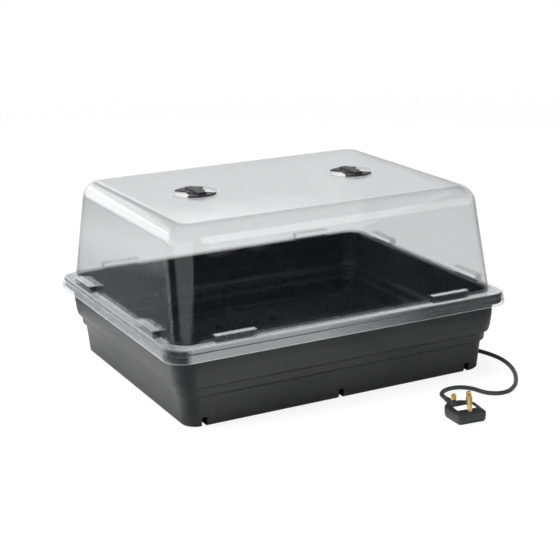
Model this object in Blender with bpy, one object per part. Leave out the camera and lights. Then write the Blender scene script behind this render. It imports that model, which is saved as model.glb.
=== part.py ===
"""Heated humidity dome tray: stepped black tray, clear vented dome, base heater, mains lead and plug.

Metres, +Z up. The origin is on the surface the tray stands on, under the middle of the tray.
+X runs along the long side and +Y along the short side. The lead leaves the +X side.
"""
import math

import bmesh
import bpy
from mathutils import Matrix, Vector

# Driving dimensions
GAP = 0.0003
FLANGE_LENGTH = 0.520
FLANGE_WIDTH = 0.430
FLANGE_TOP = 0.1165
SKIRT_BOTTOM = 0.0985
SKIRT_STEP = 0.1098
DOME_TOP = 0.2636
DOME_SHEET = 0.0014
DOME_FOOT = Vector((0.2460, 0.1970))
DOME_CROWN = Vector((0.2320, 0.1746))
DOME_CORNER = 0.030
CROWN_FILLET = 0.026
FILLET_STEPS = 6
FLANGE_CORNER = 0.028

BASE_HALF = Vector((0.2283, 0.1857))
TRAY_WALL = 0.0026
FLOOR_TOP = 0.0200
FLOOR_UNDER = FLOOR_TOP - TRAY_WALL
RIM_TOP = FLANGE_TOP - DOME_SHEET - GAP
RIM_THICKNESS = 0.0024
LIP_BOTTOM = 0.1005
LIP_INSET = 0.0042
# Outer wall of the tray: height, distance outside the foot line, corner radius
TRAY_PROFILE = (
    (0.0000, -0.0005, 0.0195),
    (0.0020, 0.0020, 0.0210),
    (0.0270, 0.0043, 0.0225),
    (0.0425, 0.0060, 0.0235),
    (0.0450, 0.0100, 0.0255),
    (0.0560, 0.0109, 0.0260),
    (0.0585, 0.0152, 0.0275),
    (0.0660, 0.0167, 0.0280),
    (0.0830, 0.0184, 0.0285),
)
NOTCH_X = (-0.206, -0.002, 0.202)
NOTCH_SIZE = Vector((0.0074, 0.0150, 0.0130))
NOTCH_WALL = 0.0020
PEG_X = (-0.141, -0.047, 0.047, 0.141)
PEG_Y = (-0.111, -0.037, 0.037, 0.111)
PEG_HEIGHT = 0.0100

LUG_HEIGHT = 0.0099
LUG_LENGTH = 0.0594
LUG_ON_SHORT_SIDE = 0.1165
LUG_ON_LONG_SIDE = 0.1639
LUG_FACE = Vector((0.2563, 0.2048))
# Where a lug ends inside the dome's wall, and how far its hollow opens into the dome
LUG_ROOT = Vector((0.2444, 0.1948))
LUG_OPEN_TO = Vector((0.2400, 0.1900))

VENT_X = 0.124
VENT_RADIUS = 0.031
VENT_RING_RADIUS = 0.0340
VENT_HUB = 0.0047
VENT_SNAP = 0.0030
VENT_GRIP_HEIGHT = 0.0028
# Two openings under each shutter: inner and outer radius, half of the angle they span
VENT_OPENING = (0.0110, 0.0290)
VENT_OPENING_HALF_ANGLE = math.radians(41.0)

COVER_HALF = Vector((0.210, 0.163))
COVER_BOTTOM = 0.0040
COVER_SHEET = 0.0020
COVER_RIM = FLOOR_UNDER - GAP
SCREW_SPOTS = tuple((x, y) for y in (-0.150, 0.150) for x in (-0.197, 0.0, 0.197))
FOOT_SPOTS = tuple((x, y) for y in (-0.148, 0.148) for x in (-0.165, 0.165))
SCREW_HOLE = 0.0017
FOOT_HOLE = 0.0025
HEATER_X = -0.015
HEATER_HALF = Vector((0.175, 0.132))

CORD_RADIUS = 0.0030
GLAND_Y = 0.015
GLAND_Z = 0.0105
GLAND_TIP = 0.2600
GLAND_HOLE_IN_TRAY = 0.0050
GLAND_HOLE_IN_COVER = 0.0034
COIL_CENTRE = Vector((0.3123, 0.060))
COIL_TURN_RADII = (0.0283, 0.0343, 0.0403)
COIL_LAYERS = (0.0031, 0.0093)
TIE_HALF_WIDTH = 0.0030
TIE_SHEET = 0.0009

# The lead from the gland to the top layer of the coil
LEAD_IN = (
    (0.2603, 0.0150, 0.0105),
    (0.2680, 0.0152, 0.0104),
    (0.2780, 0.0168, 0.0100),
    (0.2870, 0.0188, 0.0096),
)
# The lead from the bottom layer of the coil, past the tray's corner, to the plug
LEAD_OUT = (
    (0.2718, 0.0360, 0.0031),
    (0.2710, 0.0150, 0.0031),
    (0.2680, -0.0150, 0.0031),
    (0.2620, -0.0450, 0.0031),
    (0.2560, -0.0750, 0.0031),
    (0.2545, -0.0990, 0.0031),
    (0.2580, -0.1180, 0.0031),
    (0.2640, -0.1340, 0.0031),
    (0.2690, -0.1540, 0.0031),
    (0.2705, -0.1770, 0.0031),
    (0.2660, -0.2025, 0.0031),
    (0.2555, -0.2290, 0.0031),
    (0.2410, -0.2530, 0.0031),
    (0.2245, -0.2730, 0.0031),
    (0.2070, -0.2860, 0.0031),
    (0.1945, -0.2893, 0.0031),
    (0.1835, -0.2869, 0.0031),
    (0.1746, -0.2800, 0.0032),
    (0.1701, -0.2722, 0.0034),
    (0.1667, -0.2628, 0.0038),
    (0.1624, -0.2553, 0.0042),
    (0.1538, -0.2487, 0.0049),
    (0.1432, -0.2464, 0.0057),
    (0.1295, -0.2488, 0.0067),
    (0.1175, -0.2558, 0.0077),
    (0.1086, -0.2664, 0.0087),
    (0.1040, -0.2842, 0.0095),
)

# The plug lies on its back. Its own frame: earth pin at the origin, +Y towards the cord.
PLUG_AT = Vector((0.0980, -0.3460, 0.0))
PLUG_TURN = math.radians(-5.5)
PLUG_FACE = 0.0150
PLUG_SPLIT = 0.0098
PLUG_SHELL = 0.0020
PLUG_LENGTH_BACK = 0.0410
PLUG_HALF_WIDTH = 0.0228
PLUG_HALF_LENGTH = 0.0255
PLUG_CORNER = 0.0032
PIN_PITCH_Y = 0.0222
PIN_PITCH_X = 0.0111
EARTH_PIN = Vector((0.0040, 0.0080, 0.0227))
LINE_PIN = Vector((0.00635, 0.0040, 0.0177))
SLEEVE_LENGTH = 0.0095
PIN_CORNER = 0.0005
PLUG_CORD_Z = 0.0095
PLUG_SCREW_Y = 0.0125


def clear_scene():
    for leftover in list(bpy.data.objects):
        bpy.data.objects.remove(leftover, do_unlink=True)


def material(name, colour, roughness, metallic=0.0, alpha=1.0):
    made = bpy.data.materials.new(name)
    made.use_nodes = True
    shader = made.node_tree.nodes["Principled BSDF"]
    shader.inputs["Base Color"].default_value = (*colour, 1.0)
    shader.inputs["Roughness"].default_value = roughness
    shader.inputs["Metallic"].default_value = metallic
    shader.inputs["Alpha"].default_value = alpha
    made.diffuse_color = (*colour, alpha)
    return made


def place(name, mesh, finish, parent=None, location=(0.0, 0.0, 0.0)):
    piece = bpy.data.objects.new(name, mesh)
    if finish is not None and not mesh.materials:
        mesh.materials.append(finish)
    piece.location = location
    piece.parent = parent
    bpy.context.scene.collection.objects.link(piece)
    return piece


def frame_empty(name, location, turn=0.0, parent=None):
    """An axis or a frame that pieces are parented to."""
    empty = bpy.data.objects.new(name, None)
    empty.location = location
    empty.rotation_euler = (0.0, 0.0, turn)
    empty.parent = parent
    bpy.context.scene.collection.objects.link(empty)
    return empty


def to_mesh(name, bm, smooth_angle=35.0):
    bmesh.ops.recalc_face_normals(bm, faces=bm.faces)
    mesh = bpy.data.meshes.new(name)
    bm.to_mesh(mesh)
    bm.free()
    mesh.shade_smooth()
    mesh.set_sharp_from_angle(angle=math.radians(smooth_angle))
    return mesh


def rounded_rectangle(half, radius, z, centre=(0.0, 0.0), segments=5):
    """Corner arcs of a rounded rectangle at one height, anticlockwise."""
    points = []
    for corner, (sign_x, sign_y) in enumerate(((1, 1), (-1, 1), (-1, -1), (1, -1))):
        for step in range(segments + 1):
            angle = math.radians(90.0 * (corner + step / segments))
            x = sign_x * (half[0] - radius) + radius * math.cos(angle)
            y = sign_y * (half[1] - radius) + radius * math.sin(angle)
            points.append(Vector((centre[0] + x, centre[1] + y, z)))
    return points


def add_loft(bm, loops):
    """A closed body through loops that have the same number of points."""
    rings = [[bm.verts.new(point) for point in loop] for loop in loops]
    count = len(rings[0])
    for lower, upper in zip(rings, rings[1:]):
        for index in range(count):
            after = (index + 1) % count
            bm.faces.new((lower[index], lower[after], upper[after], upper[index]))
    bm.faces.new(list(reversed(rings[0])))
    bm.faces.new(rings[-1])


def loft(name, loops, smooth_angle=35.0):
    bm = bmesh.new()
    add_loft(bm, loops)
    return to_mesh(name, bm, smooth_angle)


def add_box(bm, low, high, bevel=0.0, bevel_steps=1):
    size = Vector(high) - Vector(low)
    middle = (Vector(high) + Vector(low)) / 2
    shape = Matrix.Translation(middle) @ Matrix.Diagonal((*size, 1.0))
    made = bmesh.ops.create_cube(bm, size=1.0, matrix=shape)
    if bevel:
        edges = list({edge for vert in made["verts"] for edge in vert.link_edges})
        bmesh.ops.bevel(bm, geom=edges, offset=bevel, segments=bevel_steps, affect="EDGES")


def box(name, low, high, bevel=0.0):
    bm = bmesh.new()
    add_box(bm, low, high, bevel)
    return to_mesh(name, bm)


def add_turned(bm, profile, segments=32, matrix=Matrix.Identity(4)):
    """A body of revolution about its own Z; its (radius, height) profile starts and ends on the axis."""
    rings = []
    for radius, height in profile:
        if radius < 1e-7:
            rings.append([bm.verts.new(matrix @ Vector((0.0, 0.0, height)))])
            continue
        circle = []
        for step in range(segments):
            angle = math.tau * step / segments
            spot = Vector((radius * math.cos(angle), radius * math.sin(angle), height))
            circle.append(bm.verts.new(matrix @ spot))
        rings.append(circle)
    for lower, upper in zip(rings, rings[1:]):
        for step in range(segments):
            after = (step + 1) % segments
            corners = [lower[step % len(lower)], lower[after % len(lower)]]
            corners += [upper[after % len(upper)], upper[step % len(upper)]]
            bm.faces.new(list(dict.fromkeys(corners)))


def turned(name, profile, segments=32, matrix=Matrix.Identity(4)):
    bm = bmesh.new()
    add_turned(bm, profile, segments, matrix)
    return to_mesh(name, bm)


def add_ring(bm, profile, segments=48, centre=(0.0, 0.0, 0.0)):
    """A ring about Z with a closed (radius, height) section."""
    rings = []
    for step in range(segments):
        angle = math.tau * step / segments
        across = Vector((math.cos(angle), math.sin(angle), 0.0))
        rings.append([bm.verts.new(Vector(centre) + across * radius + Vector((0, 0, height)))
                      for radius, height in profile])
    for step in range(segments):
        here = rings[step]
        there = rings[(step + 1) % segments]
        for index in range(len(profile)):
            after = (index + 1) % len(profile)
            bm.faces.new((here[index], there[index], there[after], here[after]))


def drill(radius, low, high):
    """Profile of a plain cylinder, for add_turned."""
    return ((0.0, low), (radius, low), (radius, high), (0.0, high))


def ring(name, profile, segments=48, centre=(0.0, 0.0, 0.0)):
    bm = bmesh.new()
    add_ring(bm, profile, segments, centre)
    return to_mesh(name, bm)


def sector_loop(inner, outer, middle, half_angle, z, centre, segments=8):
    """Outline of a ring sector; inner may be zero."""
    start = middle - half_angle
    angles = [start + 2 * half_angle * step / segments for step in range(segments + 1)]
    far = [Vector((math.cos(a) * outer, math.sin(a) * outer, z)) for a in angles]
    near = [Vector((math.cos(a) * inner, math.sin(a) * inner, z)) for a in reversed(angles)]
    return [point + Vector(centre) for point in far + near]


def cutter(name, bm):
    tool = place(name, to_mesh(name, bm), None)
    tool.hide_render = True
    tool.display_type = "WIRE"
    return tool


def combine(piece, tool, operation):
    step = piece.modifiers.new(tool.name, "BOOLEAN")
    step.operation = operation
    step.object = tool
    step.solver = "EXACT"


def smooth_route(points, spacing):
    """Points at even spacing along a Catmull-Rom curve through the route's points."""
    known = [Vector(point) for point in points]
    known = [2 * known[0] - known[1]] + known + [2 * known[-1] - known[-2]]
    fine = []
    for first, start, end, last in zip(known, known[1:], known[2:], known[3:]):
        for step in range(24):
            t = step / 24
            bend = 2 * first - 5 * start + 4 * end - last
            twist = 3 * start - first - 3 * end + last
            fine.append(0.5 * (2 * start + (end - first) * t + bend * t ** 2 + twist * t ** 3))
    fine.append(known[-2])
    lengths = [0.0]
    for before, after in zip(fine, fine[1:]):
        lengths.append(lengths[-1] + (after - before).length)
    count = max(3, round(lengths[-1] / spacing))
    route = []
    index = 0
    for step in range(count + 1):
        target = lengths[-1] * step / count
        while index < len(lengths) - 2 and lengths[index + 1] < target:
            index += 1
        share = (target - lengths[index]) / (lengths[index + 1] - lengths[index])
        route.append(fine[index].lerp(fine[index + 1], share))
    return route


def tube(name, routes, radius, finish, parent=None, resolution=2):
    """Round tubes with filled ends, one for each route."""
    curve = bpy.data.curves.new(name, "CURVE")
    curve.dimensions = "3D"
    curve.bevel_depth = radius
    curve.bevel_resolution = resolution
    curve.use_fill_caps = True
    for route in routes:
        spline = curve.splines.new("POLY")
        spline.points.add(len(route) - 1)
        for point, spot in zip(spline.points, route):
            point.co = (*spot, 1.0)
    return place(name, curve, finish, parent)


def rim_half(inset):
    return Vector((FLANGE_LENGTH / 2 - inset, FLANGE_WIDTH / 2 - inset))


def wall_half(offset):
    return BASE_HALF + Vector((offset, offset))


def tray_loops():
    top_offset = TRAY_PROFILE[-1][1] + 0.0006
    top_radius = TRAY_PROFILE[-1][2]
    rim_under = RIM_TOP - RIM_THICKNESS
    rim_radius = FLANGE_CORNER - LIP_INSET
    loops = [
        rounded_rectangle(wall_half(-0.0008), 0.0180, FLOOR_UNDER),
        rounded_rectangle(wall_half(-0.0032), 0.0170, 0.0),
    ]
    for z, offset, radius in TRAY_PROFILE:
        loops.append(rounded_rectangle(wall_half(offset), radius, z))
    lip = LIP_INSET + RIM_THICKNESS
    loops += [
        rounded_rectangle(wall_half(top_offset), top_radius, rim_under),
        rounded_rectangle(rim_half(lip), rim_radius - RIM_THICKNESS, rim_under),
        rounded_rectangle(rim_half(lip), rim_radius - RIM_THICKNESS, LIP_BOTTOM),
        rounded_rectangle(rim_half(LIP_INSET + 0.0002), rim_radius, LIP_BOTTOM),
        rounded_rectangle(rim_half(LIP_INSET), rim_radius, RIM_TOP - 0.0016),
        rounded_rectangle(rim_half(LIP_INSET + 0.0005), rim_radius, RIM_TOP - 0.0005),
        rounded_rectangle(rim_half(LIP_INSET + 0.0016), rim_radius - 0.0012, RIM_TOP),
        rounded_rectangle(wall_half(top_offset - TRAY_WALL + 0.0010), top_radius - 0.0010, RIM_TOP),
        rounded_rectangle(wall_half(top_offset - TRAY_WALL), top_radius - 0.0020, RIM_TOP - 0.0012),
    ]
    for z, offset, radius in reversed(TRAY_PROFILE[2:]):
        loops.append(rounded_rectangle(wall_half(offset - TRAY_WALL), radius - 0.0020, z + 0.0012))
    loops += [
        rounded_rectangle(wall_half(0.0008), 0.0200, FLOOR_TOP + 0.0028),
        rounded_rectangle(wall_half(-0.0002), 0.0190, FLOOR_TOP + 0.0009),
        rounded_rectangle(wall_half(-0.0026), 0.0170, FLOOR_TOP),
    ]
    return loops


def make_tray(finish):
    tray = place("tray", loft("tray", tray_loops(), 25.0), finish)
    added = bmesh.new()
    removed = bmesh.new()
    for side in (-1, 1):
        foot_y = side * wall_half(0.0005)[1]
        for x in NOTCH_X:
            depth = NOTCH_SIZE.y + NOTCH_WALL
            half_width = NOTCH_SIZE.x / 2
            near, far = sorted((foot_y - side * depth, foot_y - side * 0.0015))
            wall = half_width + NOTCH_WALL
            add_box(added, (x - wall, near, 0.0), (x + wall, far, FLOOR_UNDER + 0.001))
            near, far = sorted((foot_y - side * NOTCH_SIZE.y, foot_y + side * 0.010))
            add_box(removed, (x - half_width, near, -0.002), (x + half_width, far, NOTCH_SIZE.z), 0.0015)
    for x in PEG_X:
        for y in PEG_Y:
            peg = (
                (0.0, -0.0010),
                (0.0050, -0.0010),
                (0.0044, PEG_HEIGHT - 0.0010),
                (0.0034, PEG_HEIGHT),
                (0.0, PEG_HEIGHT),
            )
            add_turned(added, peg, 8, Matrix.Translation((x, y, FLOOR_TOP)))
    for x, y in SCREW_SPOTS:
        boss = ((0.0, 0.0), (0.0040, 0.0), (0.0040, 0.0130), (0.0, 0.0130))
        base = COVER_BOTTOM + COVER_SHEET + GAP
        add_turned(added, boss, 10, Matrix.Translation((x, y, base)))
        bore = drill(SCREW_HOLE, 0.0, 0.0095)
        add_turned(removed, bore, 8, Matrix.Translation((x, y, base - 0.001)))
    hole = drill(GLAND_HOLE_IN_TRAY, -0.010, 0.010)
    sideways = Matrix.Translation((BASE_HALF.x, GLAND_Y, GLAND_Z)) @ Matrix.Rotation(math.pi / 2, 4, "Y")
    add_turned(removed, hole, 16, sideways)
    combine(tray, cutter("tray_added", added), "UNION")
    combine(tray, cutter("tray_removed", removed), "DIFFERENCE")
    return tray


def dome_half_at(z, top, crown, fillet):
    """Half size of the dome at height z: straight leaning walls with a round edge under the top."""
    result = Vector((0.0, 0.0))
    for axis in range(2):
        lean = math.atan((DOME_FOOT[axis] - DOME_CROWN[axis]) / (DOME_TOP - FLANGE_TOP))
        drop = top - z
        if fillet - drop > fillet * math.sin(lean):
            centre = -fillet * (1 - math.sin(lean)) / math.cos(lean)
            result[axis] = crown[axis] + centre + math.sqrt(max(0.0, fillet ** 2 - (fillet - drop) ** 2))
        else:
            result[axis] = crown[axis] + drop * math.tan(lean)
    return result


def dome_wall_loops(top, crown, fillet, corner, foot_z):
    """Loops from the foot of the wall up to the flat top."""
    heights = [foot_z, foot_z + (top - fillet - foot_z) / 2]
    for step in range(FILLET_STEPS):
        angle = math.radians(90.0 * (step + 1) / FILLET_STEPS)
        heights.append(top - fillet + fillet * math.sin(angle))
    loops = []
    for z in heights:
        half = dome_half_at(z, top, crown, fillet)
        straight = crown[0] + (top - z) * (DOME_FOOT[0] - DOME_CROWN[0]) / (DOME_TOP - FLANGE_TOP)
        pulled_in = straight - half[0]
        loops.append(rounded_rectangle(half, max(corner - 0.9 * pulled_in, 0.006), z))
    return loops


def dome_loops():
    sheet = DOME_SHEET
    # Skirt, small step, band above the step and rounded top edge: inset from the flange's size, height
    flange = (
        (0.0004, SKIRT_BOTTOM),
        (0.0000, SKIRT_BOTTOM + 0.0012),
        (0.0006, SKIRT_STEP),
        (0.0016, SKIRT_STEP + 0.0008),
        (0.0021, FLANGE_TOP - 0.0020),
        (0.0026, FLANGE_TOP - 0.0007),
        (0.0038, FLANGE_TOP),
    )
    loops = [rounded_rectangle(rim_half(inset), FLANGE_CORNER - inset, z) for inset, z in flange]
    loops.append(rounded_rectangle(DOME_FOOT + Vector((0.0016, 0.0016)), DOME_CORNER, FLANGE_TOP))
    loops += dome_wall_loops(DOME_TOP, DOME_CROWN, CROWN_FILLET, DOME_CORNER, FLANGE_TOP + 0.0014)
    inner_top = DOME_TOP - sheet
    lean = Vector([(DOME_FOOT[i] - DOME_CROWN[i]) / (DOME_TOP - FLANGE_TOP) for i in range(2)])
    inner_crown = DOME_CROWN + lean * sheet - Vector((sheet, sheet))
    inner = dome_wall_loops(inner_top, inner_crown, CROWN_FILLET - sheet, DOME_CORNER - sheet, FLANGE_TOP)
    loops += list(reversed(inner))
    under = FLANGE_TOP - sheet
    loops.append(rounded_rectangle(DOME_FOOT + Vector((0.0004, 0.0004)), DOME_CORNER - sheet, under))
    inside_skirt = (
        (0.0040, under),
        (0.0036, under - 0.0012),
        (0.0030, SKIRT_STEP - 0.0002),
        (0.0020, SKIRT_STEP - 0.0010),
        (0.0016, SKIRT_BOTTOM),
    )
    for inset, z in inside_skirt:
        loops.append(rounded_rectangle(rim_half(inset), FLANGE_CORNER - inset, z))
    return loops


def add_dome_body(bm):
    """The dome is a skin that closes on itself: its last loop joins its first at the skirt's edge."""
    outer_and_inner = dome_loops()
    crown = next(i for i, loop in enumerate(outer_and_inner) if abs(loop[0].z - DOME_TOP) < 1e-6)
    rings = [[bm.verts.new(point) for point in loop] for loop in outer_and_inner]
    count = len(rings[0])
    for index, (lower, upper) in enumerate(zip(rings, rings[1:] + rings[:1])):
        if index == crown:
            continue
        for step in range(count):
            after = (step + 1) % count
            bm.faces.new((lower[step], lower[after], upper[after], upper[step]))
    bm.faces.new(rings[crown])
    bm.faces.new(list(reversed(rings[crown + 1])))


def lug_boxes():
    """Low and high corners of the eight hollow lugs and of the hollow inside each."""
    boxes = []
    low_z = FLANGE_TOP - 0.0008
    high_z = FLANGE_TOP + LUG_HEIGHT
    for axis, spot in ((0, LUG_ON_SHORT_SIDE), (1, LUG_ON_LONG_SIDE)):
        for sign in (-1, 1):
            for middle in (-spot, spot):
                start = middle - LUG_LENGTH / 2
                end = middle + LUG_LENGTH / 2
                near, far = sorted((sign * LUG_ROOT[axis], sign * LUG_FACE[axis]))
                if axis == 0:
                    outer = ((near, start, low_z), (far, end, high_z))
                else:
                    outer = ((start, near, low_z), (end, far, high_z))
                near, far = sorted((sign * LUG_OPEN_TO[axis], sign * (LUG_FACE[axis] - DOME_SHEET)))
                boxes.append((outer, near, far, axis))
    return boxes


def make_dome(finish, parent):
    bm = bmesh.new()
    add_dome_body(bm)
    dome = place("dome", to_mesh("dome", bm, 30.0), finish, parent)
    added = bmesh.new()
    removed = bmesh.new()
    for (low, high), near, far, axis in lug_boxes():
        add_box(added, low, high, 0.0006)
        low = Vector(low) + Vector((DOME_SHEET, DOME_SHEET, 0.0))
        high = Vector(high) - Vector((DOME_SHEET, DOME_SHEET, DOME_SHEET))
        low[axis] = near
        high[axis] = far
        low.z = FLANGE_TOP - 0.0040
        add_box(removed, low, high)
    for x in (-VENT_X, VENT_X):
        ridge = (
            (VENT_RING_RADIUS - 0.0012, DOME_TOP - 0.0006),
            (VENT_RING_RADIUS + 0.0012, DOME_TOP - 0.0006),
            (VENT_RING_RADIUS + 0.0006, DOME_TOP + 0.0010),
            (VENT_RING_RADIUS - 0.0006, DOME_TOP + 0.0010),
        )
        add_ring(added, ridge, 32, (x, 0.0, 0.0))
        bore = drill(VENT_HUB + GAP, -0.004, 0.004)
        add_turned(removed, bore, 16, Matrix.Translation((x, 0.0, DOME_TOP)))
        for middle in (0.0, math.pi):
            loops = []
            for z in (DOME_TOP - 0.004, DOME_TOP + 0.004):
                centre = (x, 0.0, 0.0)
                loops.append(sector_loop(*VENT_OPENING, middle, VENT_OPENING_HALF_ANGLE, z, centre))
            add_loft(removed, loops)
    combine(dome, cutter("dome_added", added), "UNION")
    combine(dome, cutter("dome_removed", removed), "DIFFERENCE")
    return dome


def make_vent(side, x, black, parent):
    """Shutter with two blades, a grip and a snap-in hub, and the washer under the dome that holds it."""
    pivot = frame_empty(f"vent_{side}_pivot", (x, 0.0, DOME_TOP), 0.0, parent)
    low = GAP
    high = low + 0.0022
    bm = bmesh.new()
    hub = ((0.0, -0.0052), (0.0026, -0.0052), (0.0037, -0.0040), (VENT_SNAP, -0.0038),
           (VENT_SNAP, -DOME_SHEET), (VENT_HUB, -DOME_SHEET), (VENT_HUB, low), (0.0130, low),
           (0.0130, high + 0.0010), (0.0, high + 0.0010))
    add_turned(bm, hub, 20)
    shutter = place(f"vent_shutter_{side}", to_mesh(f"vent_shutter_{side}", bm), black, pivot)
    blades = bmesh.new()
    for middle in (math.pi / 2, -math.pi / 2):
        loops = [sector_loop(0.0040, VENT_RADIUS - inset, middle, math.radians(44.5), z, (0.0, 0.0, 0.0))
                 for z, inset in ((low + 0.0001, 0.0), (high - 0.0004, 0.0), (high, 0.0006))]
        add_loft(blades, loops)
    grip = bmesh.new()
    add_box(grip, (-0.0062, -0.0235, high - 0.0004), (0.0062, 0.0235, high + VENT_GRIP_HEIGHT), 0.0008)
    combine(shutter, cutter(f"vent_{side}_blades", blades), "UNION")
    combine(shutter, cutter(f"vent_{side}_grip", grip), "UNION")
    for tool in ("blades", "grip"):
        bpy.data.objects[f"vent_{side}_{tool}"].parent = pivot
    top = -DOME_SHEET - GAP
    washer = ((VENT_SNAP + GAP, top - 0.0016), (0.0080, top - 0.0016), (0.0080, top - 0.0003),
              (0.0077, top), (VENT_SNAP + GAP, top))
    place(f"vent_washer_{side}", ring(f"vent_washer_{side}", washer, 20), black, pivot)


def make_base_cover(finish):
    z = COVER_BOTTOM
    sheet = COVER_SHEET
    loops = [
        rounded_rectangle(COVER_HALF - Vector((0.0015, 0.0015)), 0.0165, z),
        rounded_rectangle(COVER_HALF, 0.0180, z + 0.0015),
        rounded_rectangle(COVER_HALF, 0.0180, COVER_RIM),
        rounded_rectangle(COVER_HALF - Vector((sheet, sheet)), 0.0160, COVER_RIM),
        rounded_rectangle(COVER_HALF - Vector((sheet, sheet)), 0.0160, z + sheet),
    ]
    cover = place("base_cover", loft("base_cover", loops), finish)
    removed = bmesh.new()
    for spots, radius in ((SCREW_SPOTS, SCREW_HOLE), (FOOT_SPOTS, FOOT_HOLE)):
        for x, y in spots:
            add_turned(removed, drill(radius, -0.002, 0.004), 8, Matrix.Translation((x, y, z)))
    sideways = Matrix.Translation((COVER_HALF.x, GLAND_Y, GLAND_Z)) @ Matrix.Rotation(math.pi / 2, 4, "Y")
    add_turned(removed, drill(GLAND_HOLE_IN_COVER, -0.006, 0.006), 12, sideways)
    combine(cover, cutter("base_cover_removed", removed), "DIFFERENCE")


def make_base_fasteners(steel, rubber):
    screw = ((0.0, -0.0018), (0.0026, -0.0018), (0.0032, -0.0012), (0.0032, -GAP), (0.0014, -GAP),
             (0.0014, 0.0080), (0.0, 0.0092))
    screw_mesh = turned("base_screw", screw, 12)
    for number, (x, y) in enumerate(SCREW_SPOTS, 1):
        place(f"base_screw_{number}", screw_mesh, steel, None, (x, y, COVER_BOTTOM))
    top = COVER_BOTTOM - GAP
    foot = ((0.0, 0.0), (0.0082, 0.0), (0.0090, 0.0008), (0.0090, top), (0.0021, top),
            (0.0021, COVER_BOTTOM + 0.0026), (0.0030, COVER_BOTTOM + 0.0028), (0.0, COVER_BOTTOM + 0.0042))
    foot_mesh = turned("rubber_foot", foot, 16)
    for number, (x, y) in enumerate(FOOT_SPOTS, 1):
        place(f"rubber_foot_{number}", foot_mesh, rubber, None, (x, y, 0.0))


def serpentine(half_x, half_y, runs, centre_x, z):
    """Runs along X joined by half circles, from one corner to the opposite side."""
    pitch = 2 * half_y / (runs - 1)
    reach = half_x - pitch / 2
    points = [Vector((centre_x + half_x, -half_y, z))]
    for run in range(runs):
        y = -half_y + run * pitch
        way = -1 if run % 2 == 0 else 1
        points.append(Vector((centre_x - way * reach, y, z)))
        points.append(Vector((centre_x + way * reach, y, z)))
        if run == runs - 1:
            break
        for step in range(1, 4):
            angle = math.pi * step / 4
            bulge = way * math.sin(angle) * pitch / 2
            rise = (1 - math.cos(angle)) * pitch / 2
            points.append(Vector((centre_x + way * reach + bulge, y + rise, z)))
    points.append(Vector((centre_x + half_x, points[-1].y, z)))
    apart = [after for before, after in zip(points, points[1:]) if (after - before).length > 1e-4]
    return points[:1] + apart


def make_heater(aluminium, wire_finish, mat_finish, foam):
    def sheet(name, half, bottom, top, finish):
        loops = [rounded_rectangle(half, 0.006, z, (HEATER_X, 0.0), 3) for z in (bottom, top)]
        place(name, loft(name, loops), finish)

    sheet("heat_spreader", HEATER_HALF, 0.0164, FLOOR_UNDER - GAP, aluminium)
    sheet("heater_mat", HEATER_HALF - Vector((0.004, 0.004)), 0.0134, 0.0140, mat_finish)
    sheet("insulation_pad", HEATER_HALF - Vector((0.002, 0.002)), 0.0090, 0.0131, foam)
    route = serpentine(HEATER_HALF.x - 0.012, HEATER_HALF.y - 0.020, 8, HEATER_X, 0.0152)
    tube("heating_wire", [route], 0.0009, wire_finish, None, 1)


def make_wiring(black, brass, steel, grey, white):
    lead = [Vector((x, GLAND_Y, GLAND_Z)) for x in (0.2218, 0.2120, 0.2000, 0.1905)]
    tube("inner_lead", [lead], CORD_RADIUS, black)
    block = box("terminal_block", (0.1720, 0.0030, 0.0064), (0.1900, 0.0270, 0.0160), 0.0010)
    place("terminal_block", block, white)
    screw = ((0.0, 0.0), (0.0018, 0.0), (0.0018, 0.0005), (0.0, 0.0007))
    screw_mesh = turned("terminal_screw", screw, 12)
    for number, y in enumerate((0.0080, 0.0150, 0.0220), 1):
        place(f"terminal_screw_{number}", screw_mesh, brass, None, (0.1810, y, 0.0163))
    bar = box("cord_clamp", (0.1945, 0.0010, 0.0138), (0.2015, 0.0290, 0.0158), 0.0005)
    bar = place("cord_clamp", bar, grey)
    holes = bmesh.new()
    screw = (
        (0.0, 0.0064),
        (0.0013, 0.0064),
        (0.0013, 0.0161),
        (0.0026, 0.0161),
        (0.0024, 0.0169),
        (0.0, 0.0169),
    )
    screw_mesh = turned("clamp_screw", screw, 12)
    for number, y in enumerate((GLAND_Y - 0.0095, GLAND_Y + 0.0095), 1):
        add_turned(holes, drill(0.0016, -0.004, 0.004), 12, Matrix.Translation((0.1980, y, 0.0148)))
        place(f"clamp_screw_{number}", screw_mesh, steel, None, (0.1980, y, 0.0))
    combine(bar, cutter("cord_clamp_holes", holes), "DIFFERENCE")
    cutout = (
        (0.0, 0.0),
        (0.0034, 0.0),
        (0.0038, 0.0006),
        (0.0038, 0.0150),
        (0.0034, 0.0156),
        (0.0, 0.0156),
    )
    along = Matrix.Translation((0.1720, -0.0300, 0.0112)) @ Matrix.Rotation(math.pi / 2, 4, "Y")
    place("thermal_cutout", turned("thermal_cutout", cutout, 12, along), steel)
    end_x = HEATER_X + HEATER_HALF.x - 0.012
    end_y = HEATER_HALF.y - 0.020
    for name, side, block_y in (("element_lead_1", -1, 0.0080), ("element_lead_2", 1, 0.0220)):
        route = (
            (0.1716, block_y, 0.0120),
            (0.1660, block_y + 0.004 * side, 0.0118),
            (0.1648, block_y + 0.036 * side, 0.0100),
            (0.1648, 0.090 * side, 0.0120),
            (0.1610, 0.108 * side, 0.0148),
            (end_x + 0.0006, end_y * side, 0.0152),
        )
        tube(name, [smooth_route(route, 0.009)], 0.0008, grey, None, 1)


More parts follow.
